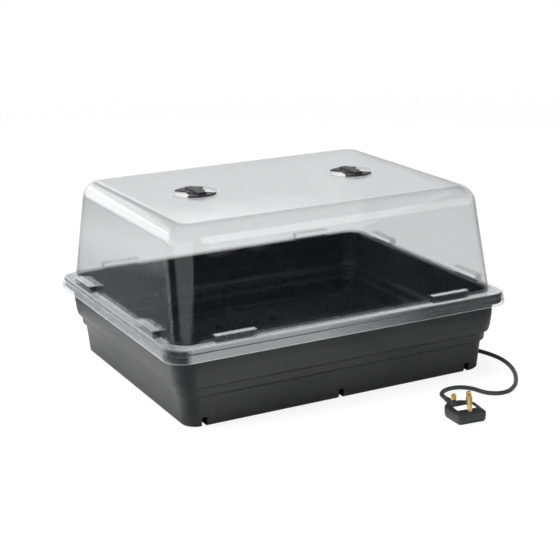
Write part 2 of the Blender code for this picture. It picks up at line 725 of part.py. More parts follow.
def make_gland(black):
    # Inner flange, neck through the tray's wall, outer flange
    profile = [
        (0.0, 0.2222),
        (0.0065, 0.2222),
        (0.0065, 0.2246),
        (0.0047, 0.2248),
        (0.0047, 0.2325),
        (0.0080, 0.2325),
        (0.0080, 0.2348),
        (0.0072, 0.2356),
        (0.0056, 0.2358),
    ]
    ribs = 4
    start = 0.2364
    pitch = (GLAND_TIP - 0.0016 - start) / ribs
    for rib in range(ribs):
        radius = 0.0056 - 0.0017 * rib / (ribs - 1)
        x = start + rib * pitch
        groove = radius - 0.0008
        profile += [(radius, x), (radius - 0.0001, x + 0.6 * pitch)]
        profile += [(groove, x + 0.7 * pitch), (groove, x + 0.95 * pitch)]
    profile += [(0.0036, GLAND_TIP), (0.0, GLAND_TIP)]
    sideways = Matrix.Translation((0.0, GLAND_Y, GLAND_Z)) @ Matrix.Rotation(math.pi / 2, 4, "Y")
    place("cable_gland", turned("cable_gland", profile, 12, sideways), black)


def make_cord(black, tie_finish):
    tube("cord_lead_in", [smooth_route(LEAD_IN, 0.007)], CORD_RADIUS, black)
    tube("cord_lead_out", [smooth_route(LEAD_OUT, 0.014)], CORD_RADIUS, black)
    inner = COIL_TURN_RADII[0] - CORD_RADIUS
    outer = COIL_TURN_RADII[-1] + CORD_RADIUS
    low = COIL_LAYERS[0] - CORD_RADIUS
    high = COIL_LAYERS[1] + CORD_RADIUS
    round_off = 0.0022
    section = (
        (inner + round_off, low),
        (outer - round_off, low),
        (outer, low + round_off),
        (outer, high - round_off),
        (outer - round_off, high),
        (inner + round_off, high),
        (inner, high - round_off),
        (inner, low + round_off),
    )
    centre = (COIL_CENTRE.x, COIL_CENTRE.y, 0.0)
    coil = place("cord_coil", ring("cord_coil", section, 40, centre), black)
    # The tie wraps the ring's section on the side away from the tray
    near = Vector((COIL_CENTRE.x + inner, COIL_CENTRE.y, low))
    far = Vector((COIL_CENTRE.x + outer, COIL_CENTRE.y, high))
    across = Vector((0.0, TIE_HALF_WIDTH, 0.0))
    past = Vector((0.0030, GAP, 0.0020))
    channel = bmesh.new()
    add_box(channel, near - across - past, far + across + past)
    core = Vector((TIE_SHEET + GAP, -0.0060, TIE_SHEET + GAP))
    keep = bmesh.new()
    add_box(keep, near + core, far - core, 0.0012)
    combine(coil, cutter("coil_channel", channel), "DIFFERENCE")
    combine(coil, cutter("coil_core", keep), "UNION")
    tie = bmesh.new()
    add_box(tie, near - across, far + across, 0.0006)
    band = place("coil_tie", to_mesh("coil_tie", tie), tie_finish)
    inside = Vector((TIE_SHEET, -0.0060, TIE_SHEET))
    slot = bmesh.new()
    add_box(slot, near + inside, far - inside)
    combine(band, cutter("coil_tie_slot", slot), "DIFFERENCE")


def plug_outline(inset, z):
    """Outline of the plug's body seen from the pins, drawn in by inset, at height z."""
    half = ((0.0205, -0.0100), (PLUG_HALF_WIDTH, 0.0265), (0.0165, 0.0360), (0.0085, PLUG_LENGTH_BACK))
    corners = list(half) + [(-x, y) for x, y in reversed(half)]
    middle = Vector((0.0, 0.0140))
    points = []
    for index, corner in enumerate(corners):
        here = Vector(corner)
        before = Vector(corners[index - 1])
        after = Vector(corners[(index + 1) % len(corners)])
        start = here + (before - here).normalized() * PLUG_CORNER
        end = here + (after - here).normalized() * PLUG_CORNER
        for t in (0.0, 0.5, 1.0):
            spot = start.lerp(here, t).lerp(here.lerp(end, t), t)
            away = spot - middle
            away.x *= 1 - inset / PLUG_HALF_WIDTH
            away.y *= 1 - inset / PLUG_HALF_LENGTH
            points.append(Vector((middle.x + away.x, middle.y + away.y, z)))
    return points


def make_plug(black, brass, steel, white, glass, parent):
    """Rewirable plug with three rectangular pins, lying on its back."""
    shell = PLUG_SHELL
    # Outline inset and height, up the outside of the hollow cover and down its inside
    cover = (
        (0.0050, 0.0),
        (0.0022, 0.0010),
        (0.0008, 0.0036),
        (0.0, PLUG_SPLIT),
        (shell, PLUG_SPLIT),
        (shell + 0.0010, 0.0040),
        (shell + 0.0030, shell),
    )
    loops = [plug_outline(inset, z) for inset, z in cover]
    place("plug_cover", loft("plug_cover", loops, 30.0), black, parent)
    base_low = PLUG_SPLIT + GAP
    face = ((0.0, base_low), (0.0, PLUG_FACE - 0.0026), (0.0006, PLUG_FACE - 0.0010), (0.0024, PLUG_FACE))
    loops = [plug_outline(inset, z) for inset, z in face]
    base = place("plug_base", loft("plug_base", loops, 30.0), black, parent)
    removed = bmesh.new()
    pins = (
        ("earth_pin", (0.0, 0.0), EARTH_PIN),
        ("line_pin", (-PIN_PITCH_X, PIN_PITCH_Y), LINE_PIN),
        ("neutral_pin", (PIN_PITCH_X, PIN_PITCH_Y), LINE_PIN),
    )
    for name, (x, y), size in pins:
        half_x = size.x / 2 + GAP
        half_y = size.y / 2 + GAP
        add_box(removed, (x - half_x, y - half_y, 0.0), (x + half_x, y + half_y, 0.03))
    well = ((0.0, -0.01), (0.0018, -0.01), (0.0018, 0.0020), (0.0036, 0.0020), (0.0036, 0.01), (0.0, 0.01))
    screw_spot = Matrix.Translation((0.0, PLUG_SCREW_Y, base_low))
    add_turned(removed, well, 16, screw_spot)
    combine(base, cutter("plug_base_removed", removed), "DIFFERENCE")
    base.modifiers[-1].object.parent = parent
    for name, (x, y), size in pins:
        make_pin(name, x, y, size, brass, black, parent)
    screw = (
        (0.0, -0.0060),
        (0.0014, -0.0060),
        (0.0014, 0.0023),
        (0.0032, 0.0023),
        (0.0032, 0.0038),
        (0.0, 0.0042),
    )
    place("plug_screw", turned("plug_screw", screw, 12, screw_spot), steel, parent)
    label = ((-0.0135, 0.0055, PLUG_FACE + 0.0002), (0.0135, 0.0195, PLUG_FACE + 0.0005))
    place("plug_label", box("plug_label", *label), white, parent)
    # A 1-inch cartridge fuse with an end cap at each end
    fuse = (
        (0.0, 0.0),
        (0.0031, 0.0),
        (0.0031, 0.0060),
        (0.0028, 0.0062),
        (0.0028, 0.0190),
        (0.0031, 0.0192),
        (0.0031, 0.0250),
        (0.0, 0.0250),
    )
    along = Matrix.Translation((0.0120, -0.0062, 0.0060)) @ Matrix.Rotation(-math.pi / 2, 4, "X")
    place("plug_fuse", turned("plug_fuse", fuse, 12, along), glass, parent)
    grip = box("plug_cord_grip", (-0.0070, 0.0290, 0.0050), (0.0070, 0.0345, 0.0080), 0.0005)
    place("plug_cord_grip", grip, steel, parent)
    start = PLUG_LENGTH_BACK + GAP + 0.0002
    boot = [(0.0, 0.0), (0.0052, 0.0), (0.0054, 0.0010), (0.0052, 0.0040)]
    for rib in range(4):
        radius = 0.0049 - 0.0004 * rib
        groove = radius - 0.0008
        y = 0.0050 + 0.0035 * rib
        boot += [(radius, y), (radius - 0.0001, y + 0.0020), (groove, y + 0.0024), (groove, y + 0.0032)]
    boot += [(0.0035, 0.0200), (0.0, 0.0202)]
    along = Matrix.Translation((0.0, start, PLUG_CORD_Z)) @ Matrix.Rotation(-math.pi / 2, 4, "X")
    place("plug_strain_relief", turned("plug_strain_relief", boot, 12, along), black, parent)


def pin_loop(x, y, half_x, half_y, z):
    return rounded_rectangle((half_x, half_y), PIN_CORNER, z, (x, y), 2)


def make_pin(name, x, y, size, brass, black, parent):
    """A pin with a chamfered tip. Line and neutral have a slim neck that an insulating sleeve fills."""
    half_x = size.x / 2
    half_y = size.y / 2
    tip = PLUG_FACE + size.z
    sections = [(0.0, 0.0050)]
    if name != "earth_pin":
        neck = 0.0010
        sleeve_low = PLUG_FACE - 0.0020
        sleeve_high = PLUG_FACE + SLEEVE_LENGTH
        neck_low = sleeve_low - GAP
        neck_high = sleeve_high + GAP
        sections += [(0.0, neck_low), (neck, neck_low), (neck, neck_high), (0.0, neck_high)]
        wall = neck - GAP
        outline = ((0.0, sleeve_low), (0.0, sleeve_high), (wall, sleeve_high), (wall, sleeve_low))
        loops = [pin_loop(x, y, half_x - inset, half_y - inset, z) for inset, z in outline]
        sleeve_name = name.replace("pin", "sleeve")
        place(sleeve_name, closed_skin(sleeve_name, loops), black, parent)
    sections += [(0.0, tip - 0.0020), (0.0004, tip - 0.0007), (0.0011, tip)]
    loops = [pin_loop(x, y, half_x - inset, half_y - inset, z) for inset, z in sections]
    place(name, loft(name, loops), brass, parent)


def closed_skin(name, loops):
    """A tube-like body whose last loop joins its first."""
    bm = bmesh.new()
    rings = [[bm.verts.new(point) for point in loop] for loop in loops]
    count = len(rings[0])
    for lower, upper in zip(rings, rings[1:] + rings[:1]):
        for step in range(count):
            after = (step + 1) % count
            bm.faces.new((lower[step], lower[after], upper[after], upper[step]))
    return to_mesh(name, bm)


def build():
    clear_scene()
    black_pp = material("black_polypropylene", (0.028, 0.029, 0.030), 0.45)
    black_cover = material("black_cover_plastic", (0.020, 0.020, 0.021), 0.60)
    clear = material("clear_dome_plastic", (0.86, 0.88, 0.88), 0.08, 0.0, 0.35)
    black_vent = material("black_vent_plastic", (0.015, 0.015, 0.016), 0.35)
    pvc = material("black_cord_pvc", (0.022, 0.024, 0.025), 0.50)
    plug_black = material("black_plug_plastic", (0.030, 0.032, 0.033), 0.45)
    rubber = material("black_rubber", (0.020, 0.020, 0.020), 0.80)
    brass = material("pin_brass", (0.80, 0.60, 0.22), 0.25, 1.0)
    steel = material("screw_steel", (0.55, 0.56, 0.57), 0.35, 1.0)
    aluminium = material("spreader_aluminium", (0.75, 0.76, 0.77), 0.40, 1.0)
    wire = material("heating_wire_silicone", (0.45, 0.05, 0.04), 0.60)
    mat = material("heater_mat_fabric", (0.75, 0.72, 0.62), 0.80)
    foam = material("insulation_foam", (0.60, 0.60, 0.62), 0.90)
    white = material("white_nylon", (0.80, 0.80, 0.78), 0.50)
    grey = material("grey_nylon", (0.35, 0.36, 0.37), 0.50)
    tie = material("tie_nylon", (0.03, 0.03, 0.03), 0.45)
    glass = material("fuse_ceramic", (0.85, 0.83, 0.78), 0.30)

    make_tray(black_pp)
    dome_frame = frame_empty("dome_lift_frame", (0.0, 0.0, 0.0))
    make_dome(clear, dome_frame)
    make_vent("left", -VENT_X, black_vent, dome_frame)
    make_vent("right", VENT_X, black_vent, dome_frame)
    make_base_cover(black_cover)
    make_base_fasteners(steel, rubber)
    make_heater(aluminium, wire, mat, foam)
    make_wiring(pvc, brass, steel, grey, white)
    make_gland(pvc)
    make_cord(pvc, tie)
    plug_frame = frame_empty("plug_frame", PLUG_AT, PLUG_TURN)
    make_plug(plug_black, brass, steel, white, glass, plug_frame)


build()
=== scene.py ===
"""Looks of the heated humidity dome tray: materials, fine surfaces, cord, light and camera.

Metres, +Z up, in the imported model's frame. +X runs along the long side and the lead leaves there.
"""
import math

import bmesh
import bpy
from mathutils import Matrix, Vector


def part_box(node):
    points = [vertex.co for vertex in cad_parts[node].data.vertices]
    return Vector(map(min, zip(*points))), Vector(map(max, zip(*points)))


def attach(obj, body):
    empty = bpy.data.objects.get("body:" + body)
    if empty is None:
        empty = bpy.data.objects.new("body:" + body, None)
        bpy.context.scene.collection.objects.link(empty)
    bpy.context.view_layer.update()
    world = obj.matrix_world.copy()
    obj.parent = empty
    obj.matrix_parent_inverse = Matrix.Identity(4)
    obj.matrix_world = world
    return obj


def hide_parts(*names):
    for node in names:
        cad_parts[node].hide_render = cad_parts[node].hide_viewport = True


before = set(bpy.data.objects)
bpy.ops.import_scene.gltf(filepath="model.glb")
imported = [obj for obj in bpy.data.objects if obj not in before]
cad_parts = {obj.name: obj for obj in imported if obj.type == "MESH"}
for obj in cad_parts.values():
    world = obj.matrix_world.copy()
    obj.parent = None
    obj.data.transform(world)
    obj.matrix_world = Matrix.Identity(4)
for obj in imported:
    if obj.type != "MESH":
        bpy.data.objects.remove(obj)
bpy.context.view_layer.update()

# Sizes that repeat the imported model's own
SHEET = 0.0014
FLANGE_TOP = 0.1165
SKIRT_BOTTOM = 0.0985
SKIRT_STEP = 0.1098
DOME_TOP = 0.2636
DOME_FOOT = Vector((0.2460, 0.1970))
DOME_CROWN = Vector((0.2320, 0.1746))
DOME_CORNER = 0.030
CROWN_FILLET = 0.026
FLANGE_CORNER = 0.028
RIM_TOP = FLANGE_TOP - SHEET - 0.0003
FLANGE_HALF = Vector(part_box("dome")[1][:2])
LUG_HEIGHT = 0.0099
LUG_LENGTH = 0.0594
LUG_FACE = Vector((0.2563, 0.2048))
LUG_MIDDLE = (0.1165, 0.1639)
VENT_X = 0.124
VENT_GRIP_HEIGHT = 0.0028
NOTCH_X = (-0.206, -0.002, 0.202)
BASE_HALF = Vector((0.2283, 0.1857))
TRAY_WALL = 0.0026
FLOOR_TOP = 0.0200
CORD_RADIUS = 0.0030
GLAND = Vector((0.2600, 0.0150, 0.0105))
PLUG_TURN = math.radians(-5.5)
PLUG_AT = Vector((0.0980, -0.3460, 0.0))
PLUG_FACE = 0.0150
PLUG_SPLIT = 0.0098


# Mesh helpers

def link(name, data, body):
    piece = bpy.data.objects.new(name, data)
    bpy.context.scene.collection.objects.link(piece)
    if body is not None:
        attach(piece, body)
    return piece


def to_mesh(name, bm, smooth_angle=35.0):
    bmesh.ops.recalc_face_normals(bm, faces=bm.faces)
    mesh = bpy.data.meshes.new(name)
    bm.to_mesh(mesh)
    bm.free()
    mesh.shade_smooth()
    mesh.set_sharp_from_angle(angle=math.radians(smooth_angle))
    return mesh


def rounded_rectangle(half, radius, z, centre=(0.0, 0.0), segments=14):
    """Corner arcs of a rounded rectangle at one height, anticlockwise."""
    points = []
    for corner, (sign_x, sign_y) in enumerate(((1, 1), (-1, 1), (-1, -1), (1, -1))):
        for step in range(segments + 1):
            angle = math.radians(90.0 * (corner + step / segments))
            x = sign_x * (half[0] - radius) + radius * math.cos(angle)
            y = sign_y * (half[1] - radius) + radius * math.sin(angle)
            points.append(Vector((centre[0] + x, centre[1] + y, z)))
    return points


def softened(profile, reach, steps=3):
    """The profile's points with each inner corner rounded over at most reach."""
    points = [Vector(point) for point in profile]
    result = [points[0]]
    for before, here, after in zip(points, points[1:], points[2:]):
        start = here + (before - here) * min(0.45, reach / (before - here).length)
        end = here + (after - here) * min(0.45, reach / (after - here).length)
        for step in range(steps + 1):
            t = step / steps
            result.append(start.lerp(here, t).lerp(here.lerp(end, t), t))
    return result + [points[-1]]


def add_loft(bm, loops, ring=False):
    """Faces through loops of equally many points, capped, or joined from the last to the first."""
    rings = [[bm.verts.new(point) for point in loop] for loop in loops]
    count = len(rings[0])
    pairs = list(zip(rings, rings[1:]))
    if ring:
        pairs.append((rings[-1], rings[0]))
    for lower, upper in pairs:
        for index in range(count):
            after = (index + 1) % count
            bm.faces.new((lower[index], lower[after], upper[after], upper[index]))
    if not ring:
        bm.faces.new(list(reversed(rings[0])))
        bm.faces.new(rings[-1])


def add_box(bm, low, high, bevel=0.0, steps=3):
    size = Vector(high) - Vector(low)
    middle = (Vector(high) + Vector(low)) / 2
    shape = Matrix.Translation(middle) @ Matrix.Diagonal((*size, 1.0))
    made = bmesh.ops.create_cube(bm, size=1.0, matrix=shape)
    if bevel:
        edges = list({edge for vert in made["verts"] for edge in vert.link_edges})
        bmesh.ops.bevel(bm, geom=edges, offset=bevel, segments=steps, affect="EDGES", profile=0.5)


def add_turned(bm, profile, segments=48, matrix=Matrix.Identity(4)):
    """A body of revolution about its own Z from (radius, height) points that start and end on the axis."""
    rings = []
    for radius, height in profile:
        if radius < 1e-7:
            rings.append([bm.verts.new(matrix @ Vector((0.0, 0.0, height)))])
            continue
        spots = [math.tau * step / segments for step in range(segments)]
        rings.append([bm.verts.new(matrix @ Vector((radius * math.cos(a), radius * math.sin(a), height)))
                      for a in spots])
    for lower, upper in zip(rings, rings[1:]):
        for step in range(segments):
            after = (step + 1) % segments
            corners = [lower[step % len(lower)], lower[after % len(lower)]]
            corners += [upper[after % len(upper)], upper[step % len(upper)]]
            bm.faces.new(list(dict.fromkeys(corners)))


def add_ring(bm, profile, segments=64, centre=(0.0, 0.0, 0.0)):
    """A ring about Z with a closed (radius, height) section."""
    loops = []
    for step in range(segments):
        angle = math.tau * step / segments
        across = Vector((math.cos(angle), math.sin(angle), 0.0))
        loops.append([Vector(centre) + across * r + Vector((0.0, 0.0, z)) for r, z in profile])
    add_loft(bm, loops, ring=True)


def cylinder(radius, low, high):
    """The profile of a plain cylinder, for add_turned."""
    return (0.0, low), (radius, low), (radius, high), (0.0, high)


def lofted(name, loops, smooth_angle, ring=False):
    bm = bmesh.new()
    add_loft(bm, loops, ring)
    return to_mesh(name, bm, smooth_angle)


def sector_loop(inner, outer, middle, half_angle, z, centre, segments=16):
    """Outline of a part of a ring, half_angle to either side of the angle middle."""
    start = middle - half_angle
    angles = [start + 2 * half_angle * step / segments for step in range(segments + 1)]
    far = [Vector((math.cos(a) * outer, math.sin(a) * outer, z)) for a in angles]
    near = [Vector((math.cos(a) * inner, math.sin(a) * inner, z)) for a in reversed(angles)]
    return [point + Vector(centre) for point in far + near]


def combined(name, base, steps, smooth_angle=35.0):
    """The base mesh after Boolean steps of (bmesh, operation)."""
    piece = bpy.data.objects.new(name, base)
    bpy.context.scene.collection.objects.link(piece)
    tools = []
    for bm, operation in steps:
        tool = bpy.data.objects.new(name + "_tool", to_mesh(name + "_tool", bm))
        bpy.context.scene.collection.objects.link(tool)
        step = piece.modifiers.new("step", "BOOLEAN")
        step.operation = operation
        step.object = tool
        step.solver = "EXACT"
        tools.append(tool)
    evaluated = piece.evaluated_get(bpy.context.evaluated_depsgraph_get())
    mesh = bpy.data.meshes.new_from_object(evaluated)
    for used in [piece] + tools:
        bpy.data.objects.remove(used, do_unlink=True)
    mesh.name = name
    mesh.shade_smooth()
    mesh.set_sharp_from_angle(angle=math.radians(smooth_angle))
    return mesh


ROUTE_STEPS = 24


def smooth_route(points, spacing):
    """Points at even spacing along a Catmull-Rom curve through the route's points."""
    known = [Vector(point) for point in points]
    known = [2 * known[0] - known[1]] + known + [2 * known[-1] - known[-2]]
    fine = []
    for first, start, end, last in zip(known, known[1:], known[2:], known[3:]):
        for step in range(ROUTE_STEPS):
            t = step / ROUTE_STEPS
            slope = (end - first) * t
            bend = (2 * first - 5 * start + 4 * end - last) * t ** 2
            turn = (3 * start - first - 3 * end + last) * t ** 3
            fine.append(0.5 * (2 * start + slope + bend + turn))
    fine.append(known[-2])
    lengths = [0.0]
    for before, after in zip(fine, fine[1:]):
        lengths.append(lengths[-1] + (after - before).length)
    count = max(3, round(lengths[-1] / spacing))
    route = []
    index = 0
    for step in range(count + 1):
        target = lengths[-1] * step / count
        while index < len(lengths) - 2 and lengths[index + 1] < target:
            index += 1
        share = (target - lengths[index]) / (lengths[index + 1] - lengths[index])
        route.append(fine[index].lerp(fine[index + 1], share))
    return route


# Camera, at the viewing angle of the object's picture

CAMERA_AZIMUTH = math.radians(-27.16)
CAMERA_ELEVATION = math.radians(16.42)
CAMERA_ROLL = math.radians(-1.19)
CAMERA_AIM = Vector((-0.0009, -0.0103, 0.1218))
CAMERA_DISTANCE = 2.0621
CAMERA_LENS = 91.97
CAMERA_SENSOR = 36.0
CAMERA_REACH = 60.0


def make_camera():
    back = Vector((math.sin(CAMERA_AZIMUTH) * math.cos(CAMERA_ELEVATION),
                   -math.cos(CAMERA_AZIMUTH) * math.cos(CAMERA_ELEVATION), math.sin(CAMERA_ELEVATION)))
    level = Vector((math.cos(CAMERA_AZIMUTH), math.sin(CAMERA_AZIMUTH), 0.0))
    over = back.cross(level)
    right = math.cos(CAMERA_ROLL) * level + math.sin(CAMERA_ROLL) * over
    up = math.cos(CAMERA_ROLL) * over - math.sin(CAMERA_ROLL) * level
    camera = bpy.data.objects.new("camera", bpy.data.cameras.new("camera"))
    turn = Matrix((right, up, back)).transposed().to_4x4()
    camera.matrix_world = Matrix.Translation(CAMERA_AIM + back * CAMERA_DISTANCE) @ turn
    camera.data.lens = CAMERA_LENS
    camera.data.sensor_width = CAMERA_SENSOR
    camera.data.clip_end = CAMERA_REACH
    bpy.context.scene.collection.objects.link(camera)
    bpy.context.scene.camera = camera


make_camera()


# Materials

class Nodes:
    """A short way to write a node tree. Inputs are given by name, or by number as i0, i1 and so on."""

    def __init__(self, tree):
        self.tree = tree
        tree.nodes.clear()

    def add(self, kind, settings=None, **inputs):
        node = self.tree.nodes.new(kind)
        for key, value in (settings or {}).items():
            setattr(node, key, value)
        for key, value in inputs.items():
            by_number = key[0] == "i" and key[1:].isdigit()
            socket = node.inputs[int(key[1:]) if by_number else key.replace("_", " ")]
            if isinstance(value, bpy.types.NodeSocket):
                self.tree.links.new(value, socket)
            else:
                socket.default_value = value
        return node

    def object_point(self):
        return self.add("ShaderNodeTexCoord").outputs["Object"]

    def separate(self, vector):
        return self.add("ShaderNodeSeparateXYZ", i0=vector).outputs

    def noise(self, scale, detail=3.0, roughness=0.55, stretch=(1.0, 1.0, 1.0)):
        place = self.add("ShaderNodeMapping", i0=self.object_point(), Scale=stretch)
        return self.add("ShaderNodeTexNoise", i0=place.outputs[0], Scale=scale, Detail=detail,
                        Roughness=roughness).outputs[0]

    def spread(self, value, low, high, to_low, to_high):
        """The value carried from low..high to to_low..to_high, and held at the ends."""
        ends = {"i1": low, "i2": high, "i3": to_low, "i4": to_high}
        return self.add("ShaderNodeMapRange", {"clamp": True}, i0=value, **ends).outputs[0]

    def band(self, value, rise, fall):
        """1 between two ramps and 0 outside them, each ramp given by the values where it starts and ends."""
        return self.times(self.spread(value, *rise, 0.0, 1.0), self.spread(value, *fall, 1.0, 0.0))

    def mix_colour(self, share, first, second):
        node = self.add("ShaderNodeMix", {"data_type": "RGBA"})
        for socket, value in ((node.inputs[0], share), (node.inputs[6], first), (node.inputs[7], second)):
            if isinstance(value, bpy.types.NodeSocket):
                self.tree.links.new(value, socket)
            else:
                socket.default_value = value
        return node.outputs[2]

    def bump(self, height, strength, distance, normal=None):
        extra = {} if normal is None else {"Normal": normal}
        return self.add("ShaderNodeBump", Strength=strength, Distance=distance, Height=height,
                        **extra).outputs[0]

    def math(self, operation, first, second=0.0):
        return self.add("ShaderNodeMath", {"operation": operation}, i0=first, i1=second).outputs[0]

    def times(self, first, *others):
        for other in others:
            first = self.math("MULTIPLY", first, other)
        return first

    def size_of(self, value):
        return self.math("ABSOLUTE", value)

    def rest_of(self, share):
        return self.math("SUBTRACT", 1.0, share)

    def finish(self, shader):
        self.tree.links.new(shader, self.add("ShaderNodeOutputMaterial").inputs[0])


def new_material(name):
    made = bpy.data.materials.new(name)
    made.use_nodes = True
    return made, Nodes(made.node_tree)


def rgb(*values):
    return (*values, 1.0)


def grey(value):
    return rgb(value, value, value)


def moulded_plastic(name, dark, light, roughness, grain=0.35, grain_size=900.0, edge_paling=0.0, specular=0.5):
    """Moulded plastic: fine grain, slow colour change, faint scratches and slightly paler sharp edges."""
    made, n = new_material(name)
    slow = n.noise(9.0, 4.0)
    fine = n.noise(grain_size, 2.0)
    scratch = n.spread(n.noise(60.0, 5.0, 0.7, (1.0, 0.08, 1.0)), 0.60, 0.70, 0.0, 1.0)
    colour = n.mix_colour(n.spread(slow, 0.35, 0.65, 0.0, 1.0), dark, light)
    if edge_paling:
        edge = n.spread(n.add("ShaderNodeNewGeometry").outputs["Pointiness"], 0.52, 0.60, 0.0, edge_paling)
        colour = n.mix_colour(edge, colour, rgb(*(min(1.0, 2.4 * c + 0.02) for c in light[:3])))
    rough = n.spread(slow, 0.3, 0.7, roughness - 0.04, roughness + 0.05)
    rough = n.math("ADD", rough, n.times(scratch, 0.08))
    normal = n.bump(fine, grain, 0.00012)
    normal = n.bump(slow, 0.10, 0.0010, normal)
    shader = n.add("ShaderNodeBsdfPrincipled", Base_Color=colour, Roughness=rough,
                   Specular_IOR_Level=specular, Normal=normal)
    n.finish(shader.outputs[0])
    return made


def metal(name, colour, dark, roughness, stretch=(1.0, 1.0, 12.0)):
    """Metal with fine drawn lines and slight tarnish."""
    made, n = new_material(name)
    lines = n.noise(700.0, 3.0, 0.6, stretch)
    tarnish = n.noise(90.0, 4.0)
    shade = n.mix_colour(n.spread(tarnish, 0.45, 0.75, 0.0, 0.8), colour, dark)
    rough = n.spread(lines, 0.3, 0.7, roughness - 0.06, roughness + 0.08)
    shader = n.add("ShaderNodeBsdfPrincipled", Base_Color=shade, Metallic=0.8, Roughness=rough,
                   Normal=n.bump(lines, 0.08, 0.00008))
    n.finish(shader.outputs[0])
    return made


# Milky shares of the rim that paint light and shade: painted light on the skirt at the front left, painted
# shade at its right, a painted highlight along the skirt's bottom edge and a painted reflection on the flat
# tops
FRONT_PAINTED_LIGHT = 0.32
RIGHT_PAINTED_SHADE = 0.03
EDGE_PAINTED_HIGHLIGHT = 0.20
FLAT_PAINTED_REFLECTION = 0.20


def rim_haze_and_painted_light(n):
    """Milky share of the flange, skirt and lugs, set by place as painted light and shade: most at the front
    left, least at the corners and step.
    """
    x, y, z = n.separate(n.object_point())
    # The skirt's corners lose the painted light
    corner = n.times(n.spread(n.size_of(x), 0.230, 0.238, 0.0, 1.0),
                     n.spread(n.size_of(y), 0.180, 0.188, 0.0, 1.0))
    # The left end keeps 0.30 of the painted light, painted shade there
    left_side = n.spread(x, -0.250, -0.238, 0.30, 1.0)
    # Painted light on the skirt at the front left, painted shade towards the right
    skirt = n.times(n.spread(x, -0.06, 0.12, FRONT_PAINTED_LIGHT, RIGHT_PAINTED_SHADE), n.rest_of(corner), left_side)
    from_edge = n.size_of(n.math("SUBTRACT", z, SKIRT_BOTTOM + 0.0006))
    # A painted highlight along the skirt's bottom edge
    skirt = n.math("ADD", skirt, n.spread(from_edge, 0.0002, 0.0007, EDGE_PAINTED_HIGHLIGHT, 0.0))
    normal = n.add("ShaderNodeNewGeometry").outputs["Normal"]
    flat = n.spread(n.size_of(n.separate(normal)[2]), 0.5, 0.9, 0.0, 1.0)
    upright = n.rest_of(flat)
    # Flat tops get the painted reflection
    haze_and_painted_light = n.math("ADD", n.times(skirt, upright), n.times(flat, left_side, FLAT_PAINTED_REFLECTION))
    # No haze at the step, so it shows as a painted dark line
    from_step = n.size_of(n.math("SUBTRACT", z, SKIRT_STEP + 0.0003))
    haze_and_painted_light = n.times(haze_and_painted_light, n.spread(from_step, 0.0004, 0.0008, 0.0, 1.0))
    # The lugs' upright sides lose most of the painted light
    lug = n.times(n.spread(z, FLANGE_TOP + 0.0006, FLANGE_TOP + 0.0012, 0.0, 0.9), upright)
    return n.times(haze_and_painted_light, n.rest_of(lug))


CLEAR_INDEX = 1.50


def clear_sheet(name, haze_and_painted_light=None):
    """Clear sheet: sight goes straight through a faint grey tint, and both faces mirror the room."""
    made, n = new_material(name)
    wave = n.noise(16.0, 2.0)
    streak = n.spread(n.noise(70.0, 5.0, 0.7, (1.0, 0.15, 0.4)), 0.62, 0.72, 0.0, 1.0)
    dust = n.spread(n.noise(420.0, 3.0, 0.7), 0.66, 0.80, 0.0, 1.0)
    normal = n.bump(wave, 0.03 if haze_and_painted_light else 0.25, 0.0010)
    through = n.add("ShaderNodeBsdfTransparent", Color=rgb(0.912, 0.915, 0.917))
    rough = n.math("ADD", 0.030, n.times(streak, 0.05))
    mirror = n.add("ShaderNodeBsdfGlossy", Color=grey(1.0), Roughness=rough, Normal=normal)
    haze = n.add("ShaderNodeBsdfDiffuse", Color=rgb(0.80, 0.82, 0.84), Normal=normal)
    share = n.math("ADD", 0.002, n.math("ADD", n.times(streak, 0.003), n.times(dust, 0.01)))
    # On the rim, painted light and shade are carried by the milky share
    if haze_and_painted_light:
        share = n.math("ADD", share, haze_and_painted_light(n))
    hazy = n.add("ShaderNodeMixShader", Fac=share, i1=through.outputs[0], i2=haze.outputs[0])
    # The same index from both sides, so that the inner face doesn't mirror like the inside of a block
    back = n.add("ShaderNodeNewGeometry").outputs["Backfacing"]
    index = n.spread(back, 0.0, 1.0, CLEAR_INDEX, 1 / CLEAR_INDEX)
    fresnel = n.add("ShaderNodeFresnel", IOR=index, Normal=normal)
    shader = n.add("ShaderNodeMixShader", Fac=fresnel.outputs[0], i1=hazy.outputs[0], i2=mirror.outputs[0])
    n.finish(shader.outputs[0])
    return made


def blank_label(name):
    """White plastic label with a soft printed-looking sheen and nothing on it."""
    made, n = new_material(name)
    mottle = n.noise(300.0, 3.0)
    share = n.spread(mottle, 0.3, 0.7, 0.0, 1.0)
    colour = n.mix_colour(share, rgb(0.78, 0.77, 0.74), rgb(0.86, 0.85, 0.83))
    rough = n.spread(mottle, 0.3, 0.7, 0.35, 0.5)
    shader = n.add("ShaderNodeBsdfPrincipled", Base_Color=colour, Roughness=rough,
                   Normal=n.bump(mottle, 0.1, 0.00008))
    n.finish(shader.outputs[0])
    return made


def woven(name, first, second, pitch):
    """Woven cloth: crossed threads."""
    made, n = new_material(name)
    spot = n.separate(n.object_point())
    across = n.math("SINE", n.times(spot[0], math.tau / pitch))
    along = n.math("SINE", n.times(spot[1], math.tau / pitch))
    thread = n.spread(n.times(across, along), -0.7, 0.7, 0.0, 1.0)
    colour = n.mix_colour(thread, first, second)
    shader = n.add("ShaderNodeBsdfPrincipled", Base_Color=colour, Roughness=0.85, Sheen_Weight=0.2,
                   Normal=n.bump(thread, 0.4, 0.0002))
    n.finish(shader.outputs[0])
    return made


